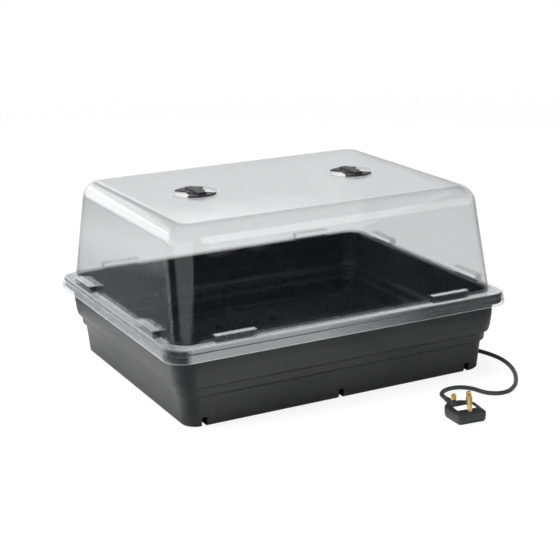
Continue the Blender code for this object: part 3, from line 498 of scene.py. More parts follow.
def foam(name):
    """Closed-cell foam: small pits, each darker towards its middle as painted shade."""
    made, n = new_material(name)
    cells = n.add("ShaderNodeTexVoronoi", i0=n.object_point(), Scale=500.0).outputs[0]
    # Painted shade: the colour darkens towards each pit's middle
    colour = n.mix_colour(n.spread(cells, 0.0, 0.6, 0.0, 1.0), rgb(0.42, 0.42, 0.45), rgb(0.62, 0.62, 0.64))
    shader = n.add("ShaderNodeBsdfPrincipled", Base_Color=colour, Roughness=0.9,
                   Normal=n.bump(cells, 0.5, 0.0004))
    n.finish(shader.outputs[0])
    return made


tray_black = moulded_plastic("tray_black", rgb(0.018, 0.019, 0.020), rgb(0.024, 0.025, 0.026), roughness=0.38,
                             grain=0.5, grain_size=1100.0, edge_paling=0.25)
# A darker, bluer copy of the tray's black for its inside faces: painted shade inside the tray
tray_inside_painted_shade = moulded_plastic("tray_inside_painted_shade", rgb(0.007, 0.010, 0.012), rgb(0.011, 0.014, 0.017),
                                    roughness=0.26, grain=0.3, grain_size=700.0, edge_paling=0.15, specular=0.35)
cover_black = moulded_plastic("cover_black", rgb(0.018, 0.018, 0.019), rgb(0.024, 0.024, 0.025),
                              roughness=0.60, grain=0.6, grain_size=700.0)
vent_black = moulded_plastic("vent_black", rgb(0.014, 0.014, 0.015), rgb(0.020, 0.020, 0.021),
                             roughness=0.36, grain=0.3, grain_size=1500.0, edge_paling=0.3)
cord_black = moulded_plastic("cord_black", rgb(0.028, 0.030, 0.031), rgb(0.036, 0.038, 0.039),
                             roughness=0.42, grain=0.25, grain_size=1300.0)
plug_black = moulded_plastic("plug_black", rgb(0.014, 0.016, 0.017), rgb(0.022, 0.024, 0.025),
                             roughness=0.42, grain=0.5, grain_size=1700.0, edge_paling=0.4)
rubber = moulded_plastic("foot_rubber", grey(0.016), grey(0.024), roughness=0.80, grain=0.6)
tie_black = moulded_plastic("tie_nylon", grey(0.020), grey(0.030), roughness=0.40, grain=0.3)
white_nylon = moulded_plastic("white_nylon", rgb(0.74, 0.74, 0.71), rgb(0.82, 0.82, 0.80),
                              roughness=0.45, grain=0.3)
grey_nylon = moulded_plastic("grey_nylon", rgb(0.30, 0.31, 0.32), rgb(0.38, 0.39, 0.40),
                             roughness=0.48, grain=0.3)
wire_red = moulded_plastic("heating_wire_silicone", rgb(0.40, 0.04, 0.03), rgb(0.50, 0.06, 0.05),
                           roughness=0.55, grain=0.3)
ceramic = moulded_plastic("fuse_ceramic", rgb(0.80, 0.77, 0.70), rgb(0.87, 0.84, 0.78),
                          roughness=0.28, grain=0.1)
brass = metal("pin_brass", rgb(0.86, 0.63, 0.24), rgb(0.66, 0.44, 0.14), 0.24)
steel = metal("screw_steel", rgb(0.62, 0.63, 0.64), rgb(0.42, 0.42, 0.42), 0.34)
aluminium = metal("spreader_aluminium", rgb(0.80, 0.81, 0.82), rgb(0.66, 0.66, 0.67), 0.36,
                  (1.0, 14.0, 1.0))
clear = clear_sheet("clear_dome_sheet")
# The rim's sheet, with painted light and shade in its haze
clear_rim_painted_light = clear_sheet("clear_dome_rim_painted_light", rim_haze_and_painted_light)
label_white = blank_label("blank_label")
mat_cloth = woven("heater_mat_cloth", rgb(0.60, 0.56, 0.46), rgb(0.78, 0.75, 0.66), 0.0016)
pad_foam = foam("insulation_foam")

NODE_MATERIALS = {
    "base_cover": cover_black, "heat_spreader": aluminium, "heater_mat": mat_cloth,
    "heating_wire": wire_red, "insulation_pad": pad_foam, "thermal_cutout": steel,
    "terminal_block": white_nylon, "cord_clamp": grey_nylon, "inner_lead": cord_black,
    "cable_gland": cord_black, "coil_tie": tie_black, "plug_screw": steel,
    "plug_fuse": ceramic, "plug_cord_grip": steel, "plug_label": label_white,
}
NUMBERED = {"base_screw": steel, "rubber_foot": rubber, "element_lead": grey_nylon, "terminal_screw": brass,
            "clamp_screw": steel, "vent_washer": vent_black}
for node_name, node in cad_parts.items():
    finish = NODE_MATERIALS.get(node_name) or NUMBERED.get(node_name.rsplit("_", 1)[0])
    if finish is not None:
        for material_slot in node.material_slots:
            material_slot.material = finish


# Cord: from the gland, six turns of a tied coil, then round the tray's corner to the plug

COIL_CENTRE = Vector((0.3123, 0.060))
TURN_RADII = (0.0403, 0.0343, 0.0283, 0.0283, 0.0343, 0.0403, 0.0403)
LAYER_HEIGHTS = (0.0093, 0.0093, 0.0093, 0.0031, 0.0031, 0.0031, 0.0031)
LEAD_IN = (
    (0.2603, 0.0150, 0.0105),
    (0.2680, 0.0152, 0.0104),
    (0.2780, 0.0168, 0.0100),
    (0.2870, 0.0188, 0.0096),
)
LEAD_OUT = (
    (0.2718, 0.0360, 0.0031),
    (0.2710, 0.0150, 0.0031),
    (0.2680, -0.0150, 0.0031),
    (0.2620, -0.0450, 0.0031),
    (0.2560, -0.0750, 0.0031),
    (0.2545, -0.0990, 0.0031),
    (0.2580, -0.1180, 0.0031),
    (0.2640, -0.1340, 0.0031),
    (0.2690, -0.1540, 0.0031),
    (0.2705, -0.1770, 0.0031),
    (0.2660, -0.2025, 0.0031),
    (0.2555, -0.2290, 0.0031),
    (0.2410, -0.2530, 0.0031),
    (0.2245, -0.2730, 0.0031),
    (0.2070, -0.2860, 0.0031),
    (0.1945, -0.2893, 0.0031),
    (0.1835, -0.2869, 0.0031),
    (0.1746, -0.2800, 0.0032),
    (0.1701, -0.2722, 0.0034),
    (0.1667, -0.2628, 0.0038),
    (0.1624, -0.2553, 0.0042),
    (0.1538, -0.2487, 0.0049),
    (0.1432, -0.2464, 0.0057),
    (0.1295, -0.2488, 0.0067),
    (0.1175, -0.2558, 0.0077),
    (0.1086, -0.2664, 0.0087),
    (0.1040, -0.2842, 0.0095),
)


COIL_TURNS = 5.75
STEPS_PER_TURN = 24
# Where in a turn the move to the next turn's radius and layer starts, and how much of the turn it takes
SHIFT_START = 0.74
SHIFT_SHARE = 0.24
ROUTE_SPACING = 0.004


def coil_route():
    """Turns side by side: out to in on the top layer, then in to out on the bottom one."""
    points = []
    for step in range(round(COIL_TURNS * STEPS_PER_TURN) + 1):
        turn, share = divmod(step / STEPS_PER_TURN, 1.0)
        here = int(turn)
        move = min(1.0, max(0.0, (share - SHIFT_START) / SHIFT_SHARE))
        move = move * move * (3 - 2 * move)
        radius = TURN_RADII[here] + (TURN_RADII[here + 1] - TURN_RADII[here]) * move
        height = LAYER_HEIGHTS[here] + (LAYER_HEIGHTS[here + 1] - LAYER_HEIGHTS[here]) * move
        angle = math.tau * step / STEPS_PER_TURN - math.pi / 2
        x = COIL_CENTRE.x + radius * math.cos(angle)
        y = COIL_CENTRE.y + radius * math.sin(angle)
        points.append((x, y, height))
    return points


def make_cord():
    route = smooth_route(list(LEAD_IN) + coil_route() + list(LEAD_OUT), ROUTE_SPACING)
    curve = bpy.data.curves.new("mains_cord", "CURVE")
    curve.dimensions = "3D"
    curve.bevel_depth = 1.0
    curve.bevel_resolution = 4
    curve.use_fill_caps = True
    spline = curve.splines.new("POLY")
    spline.points.add(len(route) - 1)
    for point, spot in zip(spline.points, route):
        point.co = (*spot, 1.0)
        point.radius = CORD_RADIUS
    spline.use_smooth = True
    cord = link("mains_cord", curve, "base")
    curve.materials.append(cord_black)
    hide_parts("cord_lead_in", "cord_coil", "cord_lead_out")
    return cord


cord = make_cord()


# Tray

# Outer wall: height, distance outside the foot line, corner radius
TRAY_PROFILE = (
    (0.0000, -0.0005, 0.0195),
    (0.0020, 0.0020, 0.0210),
    (0.0270, 0.0043, 0.0225),
    (0.0425, 0.0060, 0.0235),
    (0.0450, 0.0100, 0.0255),
    (0.0560, 0.0109, 0.0260),
    (0.0585, 0.0152, 0.0275),
    (0.0660, 0.0167, 0.0280),
    (0.0830, 0.0184, 0.0285),
)
TRAY_SMOOTH_ANGLE = 40.0
# How far outside the foot line the tray still counts as its inside, whose faces get the darker copy of the
# black as painted shade
INSIDE_REACH = 0.0165
NOTCH_HALF_WIDTH = 0.0037
NOTCH_DEPTH = 0.0150
NOTCH_HEIGHT = 0.0130
NOTCH_BLOCK_HALF_WIDTH = 0.0057
NOTCH_BLOCK_DEPTH = 0.0170
NOTCH_BLOCK_HEIGHT = 0.0184
PEG_X = (-0.141, -0.047, 0.047, 0.141)
PEG_Y = (-0.111, -0.037, 0.037, 0.111)
PEG_PROFILE = (
    (0.0, -0.0010),
    (0.0062, -0.0010),
    (0.0054, 0.0004),
    (0.0049, 0.0020),
    (0.0044, 0.0086),
    (0.0040, 0.0095),
    (0.0032, 0.0099),
    (0.0, 0.0100),
)
BOSS_X = (-0.197, 0.0, 0.197)
BOSS_Y = (-0.150, 0.150)
BOSS_FOOT = 0.0063
BOSS = cylinder(0.0040, 0.0, 0.0130)
SCREW_BORE = cylinder(0.0017, 0.0, 0.0095)
GLAND_HOLE = cylinder(0.0050, -0.010, 0.010)


def wall_loop(z, offset, radius):
    return rounded_rectangle(BASE_HALF + Vector((offset, offset)), radius, z)


def rim_loop(inset, radius, z):
    return rounded_rectangle(FLANGE_HALF - Vector((inset, inset)), radius, z)


def tray_body_loops():
    floor_under = FLOOR_TOP - TRAY_WALL
    top_offset = TRAY_PROFILE[-1][1] + 0.0006
    top_radius = TRAY_PROFILE[-1][2]
    rim_under = RIM_TOP - 0.0024
    rim_radius = FLANGE_CORNER - 0.0042
    loops = [wall_loop(floor_under, -0.0008, 0.0180), wall_loop(0.0, -0.0032, 0.0170)]
    outer = list(TRAY_PROFILE) + [(rim_under, top_offset, top_radius)]
    loops += [wall_loop(*point) for point in softened(outer, 0.0012)]
    rim = [(0.0066, rim_radius - 0.0024, rim_under), (0.0066, rim_radius - 0.0024, 0.1005),
           (0.0044, rim_radius, 0.1005), (0.0042, rim_radius, RIM_TOP - 0.0016),
           (0.0058, rim_radius - 0.0012, RIM_TOP)]
    loops += [rim_loop(*point) for point in softened(rim, 0.0012, 4)]
    inner = [(RIM_TOP, top_offset - TRAY_WALL + 0.0012, top_radius - 0.0008),
             (RIM_TOP - 0.0014, top_offset - TRAY_WALL, top_radius - 0.0020)]
    inner += [(z + 0.0012, offset - TRAY_WALL, radius - 0.0020)
              for z, offset, radius in reversed(TRAY_PROFILE[2:])]
    inner += [(FLOOR_TOP + 0.0030, 0.0008, 0.0200), (FLOOR_TOP, -0.0026, 0.0170)]
    loops += [wall_loop(*point) for point in softened(inner, 0.0012)]
    return loops


def make_tray():
    base = lofted("tray_body", tray_body_loops(), TRAY_SMOOTH_ANGLE)
    added = bmesh.new()
    removed = bmesh.new()
    for side in (-1, 1):
        foot_y = side * (BASE_HALF.y + 0.0005)
        for x in NOTCH_X:
            near, far = sorted((foot_y - side * NOTCH_BLOCK_DEPTH, foot_y - side * 0.0015))
            add_box(added, (x - NOTCH_BLOCK_HALF_WIDTH, near, 0.0),
                    (x + NOTCH_BLOCK_HALF_WIDTH, far, NOTCH_BLOCK_HEIGHT))
            near, far = sorted((foot_y - side * NOTCH_DEPTH, foot_y + side * 0.0100))
            add_box(removed, (x - NOTCH_HALF_WIDTH, near, -0.002),
                    (x + NOTCH_HALF_WIDTH, far, NOTCH_HEIGHT), 0.0012)
    for x in PEG_X:
        for y in PEG_Y:
            add_turned(added, PEG_PROFILE, 28, Matrix.Translation((x, y, FLOOR_TOP)))
    for x in BOSS_X:
        for y in BOSS_Y:
            add_turned(added, BOSS, 20, Matrix.Translation((x, y, BOSS_FOOT)))
            add_turned(removed, SCREW_BORE, 16, Matrix.Translation((x, y, BOSS_FOOT - 0.0010)))
    sideways = Matrix.Translation((BASE_HALF.x, GLAND.y, GLAND.z)) @ Matrix.Rotation(math.pi / 2, 4, "Y")
    add_turned(removed, GLAND_HOLE, 32, sideways)
    steps = [(added, "UNION"), (removed, "DIFFERENCE")]
    mesh = combined("tray_body", base, steps, TRAY_SMOOTH_ANGLE)
    mesh.materials.clear()
    mesh.materials.append(tray_black)
    mesh.materials.append(tray_inside_painted_shade)
    # Inside faces take the darker copy of the black, painted shade inside the tray
    for face in mesh.polygons:
        middle = face.center
        facing_in = face.normal.x * middle.x + face.normal.y * middle.y < 0.0 or face.normal.z > 0.7
        inside = abs(middle.x) < BASE_HALF.x + INSIDE_REACH and abs(middle.y) < BASE_HALF.y + INSIDE_REACH
        face.material_index = 1 if inside and facing_in and middle.z > FLOOR_TOP - 0.0005 else 0
    tray = link("tray_body", mesh, "base")
    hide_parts("tray")


make_tray()


# Dome

DOME_SMOOTH_ANGLE = 28.0
LUG_INNER_FACE = (0.2444, 0.1948)
OPENING_RADII = (0.0110, 0.0290)
OPENING_HALF_ANGLE = math.radians(41.0)
HUB_HOLE = cylinder(0.0050, -0.004, 0.004)
VENT_RIDGE = (
    (0.0325, DOME_TOP - 0.0006),
    (0.0355, DOME_TOP - 0.0006),
    (0.0351, DOME_TOP + 0.0004),
    (0.0344, DOME_TOP + 0.0010),
    (0.0336, DOME_TOP + 0.0010),
    (0.0329, DOME_TOP + 0.0004),
)


def dome_half_at(z, top, crown, fillet):
    """Half size of the dome at height z: straight leaning walls with a round edge under the top."""
    result = Vector((0.0, 0.0))
    for axis in range(2):
        lean = math.atan((DOME_FOOT[axis] - DOME_CROWN[axis]) / (DOME_TOP - FLANGE_TOP))
        drop = top - z
        if fillet - drop > fillet * math.sin(lean):
            centre = -fillet * (1 - math.sin(lean)) / math.cos(lean)
            result[axis] = crown[axis] + centre + math.sqrt(max(0.0, fillet ** 2 - (fillet - drop) ** 2))
        else:
            result[axis] = crown[axis] + drop * math.tan(lean)
    return result


def dome_wall_loops(top, crown, fillet, corner, foot_z, steps=18):
    straight_part = top - fillet - foot_z
    # The two loops low down keep the foot's soft shading and the lugs' corners off the tall flat wall
    rises = (0.0, 0.0012, 0.0100, 0.3 * straight_part, 0.7 * straight_part)
    heights = [foot_z + rise for rise in rises]
    for step in range(steps):
        heights.append(top - fillet + fillet * math.sin(math.radians(90.0 * (step + 1) / steps)))
    loops = []
    for z in heights:
        half = dome_half_at(z, top, crown, fillet)
        straight = crown[0] + (top - z) * (DOME_FOOT[0] - DOME_CROWN[0]) / (DOME_TOP - FLANGE_TOP)
        loops.append(rounded_rectangle(half, max(corner - 0.9 * (straight - half[0]), 0.006), z))
    return loops


def dome_loops():
    """Loops of the sheet: down its inner skin from the top, round the skirt's edge, up its outer skin."""
    outside = (
        (0.0006, SKIRT_BOTTOM),
        (0.0000, SKIRT_BOTTOM + 0.0010),
        (0.0012, SKIRT_STEP - 0.0002),
        (0.0024, SKIRT_STEP + 0.0008),
        (0.0028, FLANGE_TOP - 0.0008),
        (0.0040, FLANGE_TOP),
    )
    outer = [rim_loop(inset, FLANGE_CORNER - inset, z) for inset, z in softened(outside, 0.0006, 2)]
    foot = ((0.0040, FLANGE_TOP), (0.0012, FLANGE_TOP + 0.0002), (0.0002, FLANGE_TOP + 0.0014))
    outer += [rounded_rectangle(DOME_FOOT + Vector((out, out)), DOME_CORNER, z) for out, z in foot]
    outer += dome_wall_loops(DOME_TOP, DOME_CROWN, CROWN_FILLET, DOME_CORNER, FLANGE_TOP + 0.0030)

    lean = (DOME_FOOT - DOME_CROWN) / (DOME_TOP - FLANGE_TOP)
    inner_crown = DOME_CROWN + lean * SHEET - Vector((SHEET, SHEET))
    inner = dome_wall_loops(DOME_TOP - SHEET, inner_crown, CROWN_FILLET - SHEET, DOME_CORNER - SHEET,
                            FLANGE_TOP)
    inner.reverse()
    under = FLANGE_TOP - SHEET
    inner.append(rounded_rectangle(DOME_FOOT + Vector((0.0006, 0.0006)), DOME_CORNER - SHEET, under))
    inside = ((0.0052, under), (0.0042, under - 0.0008), (0.0038, SKIRT_STEP), (0.0026, SKIRT_STEP - 0.0010),
              (0.0018, SKIRT_BOTTOM))
    inner += [rim_loop(inset, FLANGE_CORNER - inset, z) for inset, z in inside]
    return inner + outer


def lug_boxes():
    """Each hollow lug's low and high corners, the two ends of its hollow, and the axis these lie along."""
    found = []
    for axis in range(2):
        wall = LUG_INNER_FACE[axis]
        for sign in (-1, 1):
            for middle in (-LUG_MIDDLE[axis], LUG_MIDDLE[axis]):
                near, far = sorted((sign * wall, sign * LUG_FACE[axis]))
                low = [middle - LUG_LENGTH / 2] * 2 + [FLANGE_TOP - 0.0008]
                high = [middle + LUG_LENGTH / 2] * 2 + [FLANGE_TOP + LUG_HEIGHT]
                low[axis] = near
                high[axis] = far
                hollow = sorted((sign * (wall - 0.0046), sign * (LUG_FACE[axis] - SHEET)))
                found.append((low, high, hollow, axis))
    return found


def make_dome():
    base = lofted("dome_sheet", dome_loops(), DOME_SMOOTH_ANGLE)
    added = bmesh.new()
    removed = bmesh.new()
    for low, high, hollow, axis in lug_boxes():
        add_box(added, low, high, 0.0006, 1)
        low = Vector(low) + Vector((SHEET, SHEET, 0.0))
        high = Vector(high) - Vector((SHEET, SHEET, SHEET))
        low[axis], high[axis] = hollow
        low.z = FLANGE_TOP - 0.0040
        add_box(removed, low, high, 0.0004, 1)
    for x in (-VENT_X, VENT_X):
        add_ring(added, VENT_RIDGE, 72, (x, 0.0, 0.0))
        add_turned(removed, HUB_HOLE, 32, Matrix.Translation((x, 0.0, DOME_TOP)))
        for middle in (0.0, math.pi):
            loops = [sector_loop(*OPENING_RADII, middle, OPENING_HALF_ANGLE, DOME_TOP + z, (x, 0.0, 0.0))
                     for z in (-0.004, 0.004)]
            add_loft(removed, loops)
    steps = [(added, "UNION"), (removed, "DIFFERENCE")]
    mesh = combined("dome_sheet", base, steps, DOME_SMOOTH_ANGLE)
    mesh.materials.clear()
    mesh.materials.append(clear)
    mesh.materials.append(clear_rim_painted_light)
    for face in mesh.polygons:
        middle = face.center
        past_wall = abs(middle.x) > DOME_FOOT.x + 0.0005 or abs(middle.y) > DOME_FOOT.y + 0.0005
        face.material_index = 1 if middle.z < FLANGE_TOP + 0.0002 or past_wall else 0
    dome = link("dome_sheet", mesh, "dome")
    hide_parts("dome")


make_dome()


# Vent shutters

SHUTTER_LOW = DOME_TOP + 0.0003
SHUTTER_HIGH = SHUTTER_LOW + 0.0022
HUB_PROFILE = (
    (0.0, DOME_TOP - 0.0052),
    (0.0026, DOME_TOP - 0.0052),
    (0.0037, DOME_TOP - 0.0040),
    (0.0030, DOME_TOP - 0.0038),
    (0.0030, DOME_TOP - SHEET),
    (0.0047, DOME_TOP - SHEET),
    (0.0047, SHUTTER_LOW),
    (0.0130, SHUTTER_LOW),
    (0.0130, SHUTTER_HIGH + 0.0006),
    (0.0126, SHUTTER_HIGH + 0.0010),
    (0.0, SHUTTER_HIGH + 0.0010),
)
BLADE_INNER = 0.0040
BLADE_OUTER = 0.0310
BLADE_HALF_ANGLE = math.radians(44.5)
BLADE_SECTIONS = ((SHUTTER_LOW + 0.0001, 0.0), (SHUTTER_HIGH - 0.0005, 0.0), (SHUTTER_HIGH, 0.0006))
GRIP_HALF_WIDTH = 0.0062
GRIP_HALF_LENGTH = 0.0235
GROOVE_PITCH = 0.0040
GROOVE_HALF_WIDTH = 0.0009


def make_vent(side, x):
    bm = bmesh.new()
    add_turned(bm, HUB_PROFILE, 48, Matrix.Translation((x, 0.0, 0.0)))
    base = to_mesh("vent", bm)
    blades = bmesh.new()
    for middle in (math.pi / 2, -math.pi / 2):
        loops = [sector_loop(BLADE_INNER, BLADE_OUTER - inset, middle, BLADE_HALF_ANGLE, z, (x, 0.0, 0.0))
                 for z, inset in BLADE_SECTIONS]
        add_loft(blades, loops)
    grip = bmesh.new()
    add_box(grip, (x - GRIP_HALF_WIDTH, -GRIP_HALF_LENGTH, SHUTTER_HIGH - 0.0004),
            (x + GRIP_HALF_WIDTH, GRIP_HALF_LENGTH, SHUTTER_HIGH + VENT_GRIP_HEIGHT), 0.0009, 4)
    grooves = bmesh.new()
    for step in range(-5, 6):
        for edge in (-1, 1):
            y = step * GROOVE_PITCH
            near, far = sorted((x + edge * 0.0053, x + edge * 0.0080))
            add_box(grooves, (near, y - GROOVE_HALF_WIDTH, SHUTTER_HIGH + 0.0008),
                    (far, y + GROOVE_HALF_WIDTH, SHUTTER_HIGH + 0.0050), 0.0003, 1)
    steps = [(blades, "UNION"), (grip, "UNION"), (grooves, "DIFFERENCE")]
    mesh = combined(f"vent_{side}", base, steps)
    mesh.materials.clear()
    mesh.materials.append(vent_black)
    shutter = link(f"vent_{side}_turner", mesh, f"vent_{side}")
    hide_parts(f"vent_shutter_{side}")


make_vent("left", -VENT_X)
make_vent("right", VENT_X)


# Plug, in its own frame: earth pin at the origin, +Y towards the cord, lying on its back

plug_place = Matrix.Translation(PLUG_AT) @ Matrix.Rotation(PLUG_TURN, 4, "Z")

# The body's outline seen from the pins
PLUG_CORNERS = (
    (-0.0205, -0.0100),
    (0.0205, -0.0100),
    (0.0228, 0.0265),
    (0.0165, 0.0360),
    (0.0085, 0.0410),
    (-0.0085, 0.0410),
    (-0.0165, 0.0360),
    (-0.0228, 0.0265),
)
PLUG_MIDDLE = Vector((0.0, 0.0140))
PLUG_HALF = Vector((0.0228, 0.0255))
PLUG_CORNER_REACH = 0.0032
PLUG_SHELL = 0.0020
FACE_LOW = PLUG_SPLIT + 0.0003
# Pins: name, middle x and y, half width, half depth, length beyond the face
PINS = (
    ("earth_pin", 0.0, 0.0, 0.0020, 0.0040, 0.0227),
    ("line_pin", -0.0111, 0.0222, 0.003175, 0.0020, 0.0177),
    ("neutral_pin", 0.0111, 0.0222, 0.003175, 0.0020, 0.0177),
)
PIN_CLEARANCE = 0.0003
SLEEVE_LENGTH = 0.0095
# Plug loops: how far in from the outline or the pin's side, height
COVER_SECTIONS = (
    (0.0050, 0.0),
    (0.0022, 0.0010),
    (0.0008, 0.0036),
    (0.0003, PLUG_SPLIT - 0.0006),
    (0.0006, PLUG_SPLIT),
    (PLUG_SHELL, PLUG_SPLIT),
    (PLUG_SHELL + 0.0010, 0.0040),
    (PLUG_SHELL + 0.0030, PLUG_SHELL),
)
FACE_SECTIONS = (
    (0.0006, FACE_LOW),
    (0.0003, FACE_LOW + 0.0006),
    (0.0003, PLUG_FACE - 0.0020),
    (0.0008, PLUG_FACE - 0.0007),
    (0.0020, PLUG_FACE),
)
SCREW_WELL = ((0.0, -0.01), (0.0018, -0.01), (0.0018, 0.0020), (0.0036, 0.0020), (0.0036, 0.01), (0.0, 0.01))


def plug_piece(name, mesh, finish, slot, *nodes):
    mesh.transform(plug_place)
    mesh.materials.clear()
    mesh.materials.append(finish)
    piece = link(name, mesh, "base")
    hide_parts(*nodes)
    return piece


def plug_outline(inset, z):
    """Outline of the plug's body, drawn in by inset, at height z."""
    points = []
    for index, corner in enumerate(PLUG_CORNERS):
        here = Vector(corner)
        before = Vector(PLUG_CORNERS[index - 1])
        after = Vector(PLUG_CORNERS[(index + 1) % len(PLUG_CORNERS)])
        start = here + (before - here).normalized() * PLUG_CORNER_REACH
        end = here + (after - here).normalized() * PLUG_CORNER_REACH
        for step in range(7):
            t = step / 6
            away = start.lerp(here, t).lerp(here.lerp(end, t), t) - PLUG_MIDDLE
            away.x *= 1 - inset / PLUG_HALF.x
            away.y *= 1 - inset / PLUG_HALF.y
            points.append(Vector((PLUG_MIDDLE.x + away.x, PLUG_MIDDLE.y + away.y, z)))
    return points


def make_plug_body():
    cover = lofted("plug_back_shell", [plug_outline(*section) for section in COVER_SECTIONS], 30.0)
    base = lofted("plug_face", [plug_outline(*section) for section in FACE_SECTIONS], 30.0)
    removed = bmesh.new()
    for _, x, y, half_x, half_y, _ in PINS:
        add_box(removed, (x - half_x - PIN_CLEARANCE, y - half_y - PIN_CLEARANCE, 0.0),
                (x + half_x + PIN_CLEARANCE, y + half_y + PIN_CLEARANCE, 0.03))
    add_turned(removed, SCREW_WELL, 32, Matrix.Translation((0.0, 0.0125, FACE_LOW)))
    face = combined("plug_face", base, [(removed, "DIFFERENCE")], 30.0)
    return [plug_piece("plug_back_shell", cover, plug_black, "black_plug_plastic", "plug_cover"),
            plug_piece("plug_face", face, plug_black, "black_plug_plastic", "plug_base")]


def make_pin(name, x, y, half_x, half_y, length):
    """A brass pin with the sleeve round its root; the earth pin has no sleeve."""
    def loops(sections):
        return [rounded_rectangle((half_x - inset, half_y - inset), 0.0005, z, (x, y), 5)
                for inset, z in sections]

    pieces = []
    sections = [(0.0, 0.0050)]
    if name != "earth_pin":
        top = PLUG_FACE + SLEEVE_LENGTH
        sections += [(0.0, PLUG_FACE - 0.0023), (0.0010, PLUG_FACE - 0.0023), (0.0010, top + 0.0003),
                     (0.0, top + 0.0003)]
        walls = [(0.0, PLUG_FACE - 0.0020), (0.0, top - 0.0004), (0.0003, top), (0.0007, top),
                 (0.0007, PLUG_FACE - 0.0020)]
        sleeve = name.replace("_pin", "_sleeve")
        mesh = lofted(sleeve, loops(walls), 40.0, ring=True)
        pieces.append(plug_piece(sleeve + "_moulding", mesh, plug_black, "black_plug_plastic", sleeve))
    tip = PLUG_FACE + length
    sections += [(0.0, tip - 0.0022), (0.0003, tip - 0.0012), (0.0007, tip - 0.0005), (0.0012, tip)]
    mesh = lofted(name, loops(sections), 40.0)
    pieces.append(plug_piece(name + "_brass", mesh, brass, "pin_brass", name))
    return pieces


def make_boot():
    """The ribbed strain relief between plug and cord."""
    profile = [(0.0, 0.0), (0.0050, 0.0), (0.0054, 0.0005), (0.0054, 0.0034), (0.0050, 0.0040)]
    for rib in range(4):
        radius = 0.0049 - 0.0004 * rib
        y = 0.0050 + 0.0035 * rib
        profile += [(radius - 0.0002, y - 0.0002), (radius, y + 0.0002), (radius, y + 0.0018),
                    (radius - 0.0002, y + 0.0022), (radius - 0.0009, y + 0.0025), (radius - 0.0009, y + 0.0031)]
    profile += [(0.0036, 0.0196), (0.0033, 0.0201), (0.0, 0.0202)]
    along = Matrix.Translation((0.0, 0.0415, 0.0095)) @ Matrix.Rotation(-math.pi / 2, 4, "X")
    bm = bmesh.new()
    add_turned(bm, profile, 36, along)
    mesh = to_mesh("plug_boot", bm, 40.0)
    return plug_piece("plug_boot", mesh, plug_black, "black_plug_plastic", "plug_strain_relief")


plug_pieces = make_plug_body()
for pin in PINS:
    plug_pieces += make_pin(*pin)
plug_pieces.append(make_boot())


# Floor, light and room

# How bright the room is for light that bounces off matt surfaces
ROOM_FILL = 0.12
FLOOR_RADIUS = 3.0
FLOOR_DROP = 0.0002
FLOOR_GLOW = 0.85


def make_floor():
    """White floor that fades into the room. In reflections it shows a painted reflection: pale close by, then
    dark, then mid grey, and dark off the tray's front-left corner as painted shade.
    """
    bm = bmesh.new()
    bmesh.ops.create_circle(bm, cap_ends=True, segments=96, radius=FLOOR_RADIUS)
    floor = link("floor", to_mesh("floor", bm), None)
    floor.location.z = -FLOOR_DROP
    made, n = new_material("pale_floor")
    path = n.add("ShaderNodeLightPath")
    spot = n.add("ShaderNodeNewGeometry").outputs["Position"]
    away = n.add("ShaderNodeVectorMath", {"operation": "LENGTH"}, i0=spot).outputs["Value"]
    x, y, _ = n.separate(spot)
    # Painted reflection: the floor's colour for glossy rays, dark off the tray's front-left corner as painted
    # shade there, and dark further off
    painted_corner_shade = n.times(n.spread(x, -0.25, -0.19, 1.0, 0.0), n.spread(y, -0.21, -0.13, 1.0, 0.0))
    painted_dark_share = n.math("MAXIMUM", painted_corner_shade, n.spread(away, 0.38, 0.50, 0.0, 1.0))
    mirrored = n.mix_colour(painted_dark_share, grey(0.66), rgb(0.12, 0.13, 0.14))
    mirrored = n.mix_colour(n.spread(away, 0.95, 1.25, 0.0, 1.0), mirrored, grey(0.38))
    pale = n.mix_colour(n.noise(3.0, 2.0), grey(0.80), grey(0.84))
    lit = n.mix_colour(path.outputs["Is Glossy Ray"], pale, mirrored)
    lit = n.mix_colour(path.outputs["Is Camera Ray"], lit, grey(0.17))
    glow = n.add("ShaderNodeEmission", Strength=n.times(path.outputs["Is Camera Ray"], FLOOR_GLOW))
    matt = n.add("ShaderNodeBsdfDiffuse", Color=lit)
    seen = n.add("ShaderNodeAddShader", i0=matt.outputs[0], i1=glow.outputs[0])
    gone = n.add("ShaderNodeBsdfTransparent").outputs[0]
    fade = n.spread(away, 0.9, 2.6, 0.0, 1.0)
    n.finish(n.add("ShaderNodeMixShader", Fac=fade, i1=seen.outputs[0], i2=gone).outputs[0])
    floor.data.materials.append(made)


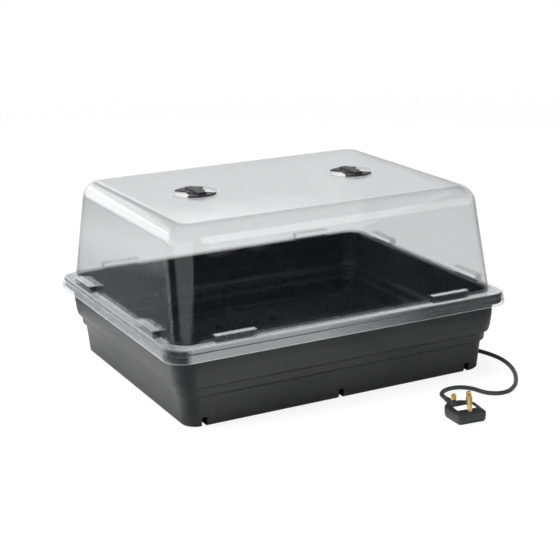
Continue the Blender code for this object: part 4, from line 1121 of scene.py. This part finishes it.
def make_room():
    """White to the eye. Mirrored, a dark studio: a pale back wall, two bright panels, a pale horizon."""
    world = bpy.data.worlds.new("room")
    world.use_nodes = True
    bpy.context.scene.world = world
    n = Nodes(world.node_tree)
    x, y, z = n.separate(n.add("ShaderNodeTexCoord").outputs["Generated"])
    behind = n.spread(y, 0.50, 0.60, 0.0, 1.0)
    wall = n.times(behind, n.band(z, (0.0, 0.03), (0.32, 0.36)), n.spread(z, 0.24, 0.30, 0.74, 1.30))
    left_panel = n.times(behind, n.band(z, (-0.09, -0.06), (0.42, 0.48)), n.spread(x, 0.02, 0.08, 1.12, 0.0))
    front_panel = n.times(n.spread(y, -0.50, -0.60, 0.0, 1.0), n.band(z, (0.02, 0.05), (0.48, 0.62)),
                          n.spread(x, 0.343, 0.350, 0.0, 1.0), n.spread(x, 0.36, 0.60, 2.0, 1.0))
    # A pale horizon all round for the other sides, with a gap for the front panel and its edge
    beside = n.math("MAXIMUM", n.spread(x, 0.05, 0.20, 1.0, 0.0), n.spread(x, 0.66, 0.76, 0.0, 1.0))
    around = n.times(n.rest_of(behind), n.spread(z, 0.30, 0.60, 0.80, 0.0), beside,
                     n.spread(z, 0.0, 0.03, 0.0, 1.0))
    panels = 0.03
    for panel in (wall, left_panel, front_panel, around):
        panels = n.math("ADD", panel, panels)
    path = n.add("ShaderNodeLightPath")
    strength = n.times(path.outputs["Is Glossy Ray"], n.math("SUBTRACT", panels, ROOM_FILL))
    strength = n.math("ADD", ROOM_FILL, strength)
    to_eye = n.times(path.outputs["Is Camera Ray"], 1.0 - ROOM_FILL)
    tone = n.mix_colour(path.outputs["Is Camera Ray"], rgb(0.985, 0.995, 1.0), grey(1.0))
    shader = n.add("ShaderNodeBackground", Color=tone, Strength=n.math("ADD", strength, to_eye))
    n.tree.links.new(shader.outputs[0], n.add("ShaderNodeOutputWorld").inputs[0])


def soft_box(name, place, aim, size, watts):
    """A rectangular lamp that lights but isn't mirrored; glossy surfaces show the room's panels."""
    data = bpy.data.lights.new(name, "AREA")
    data.shape = "RECTANGLE"
    data.size, data.size_y = size
    data.energy = watts
    lamp = bpy.data.objects.new(name, data)
    lamp.location = place
    lamp.rotation_euler = (Vector(aim) - Vector(place)).to_track_quat("-Z", "Y").to_euler()
    lamp.visible_glossy = False
    bpy.context.scene.collection.objects.link(lamp)


make_floor()
make_room()
LAMP_AIM = (0.0, 0.0, 0.1)
soft_box("overhead", (-0.2, 0.2, 2.2), LAMP_AIM, (2.4, 2.0), 80.0)
soft_box("left_side", (-2.0, 0.4, 0.7), LAMP_AIM, (1.6, 1.2), 60.0)
soft_box("front_right_high", (1.0, -1.6, 1.6), LAMP_AIM, (1.0, 0.8), 8.0)
bpy.context.scene.view_settings.view_transform = "Standard"
bpy.context.scene.cycles.transparent_max_bounces = 32
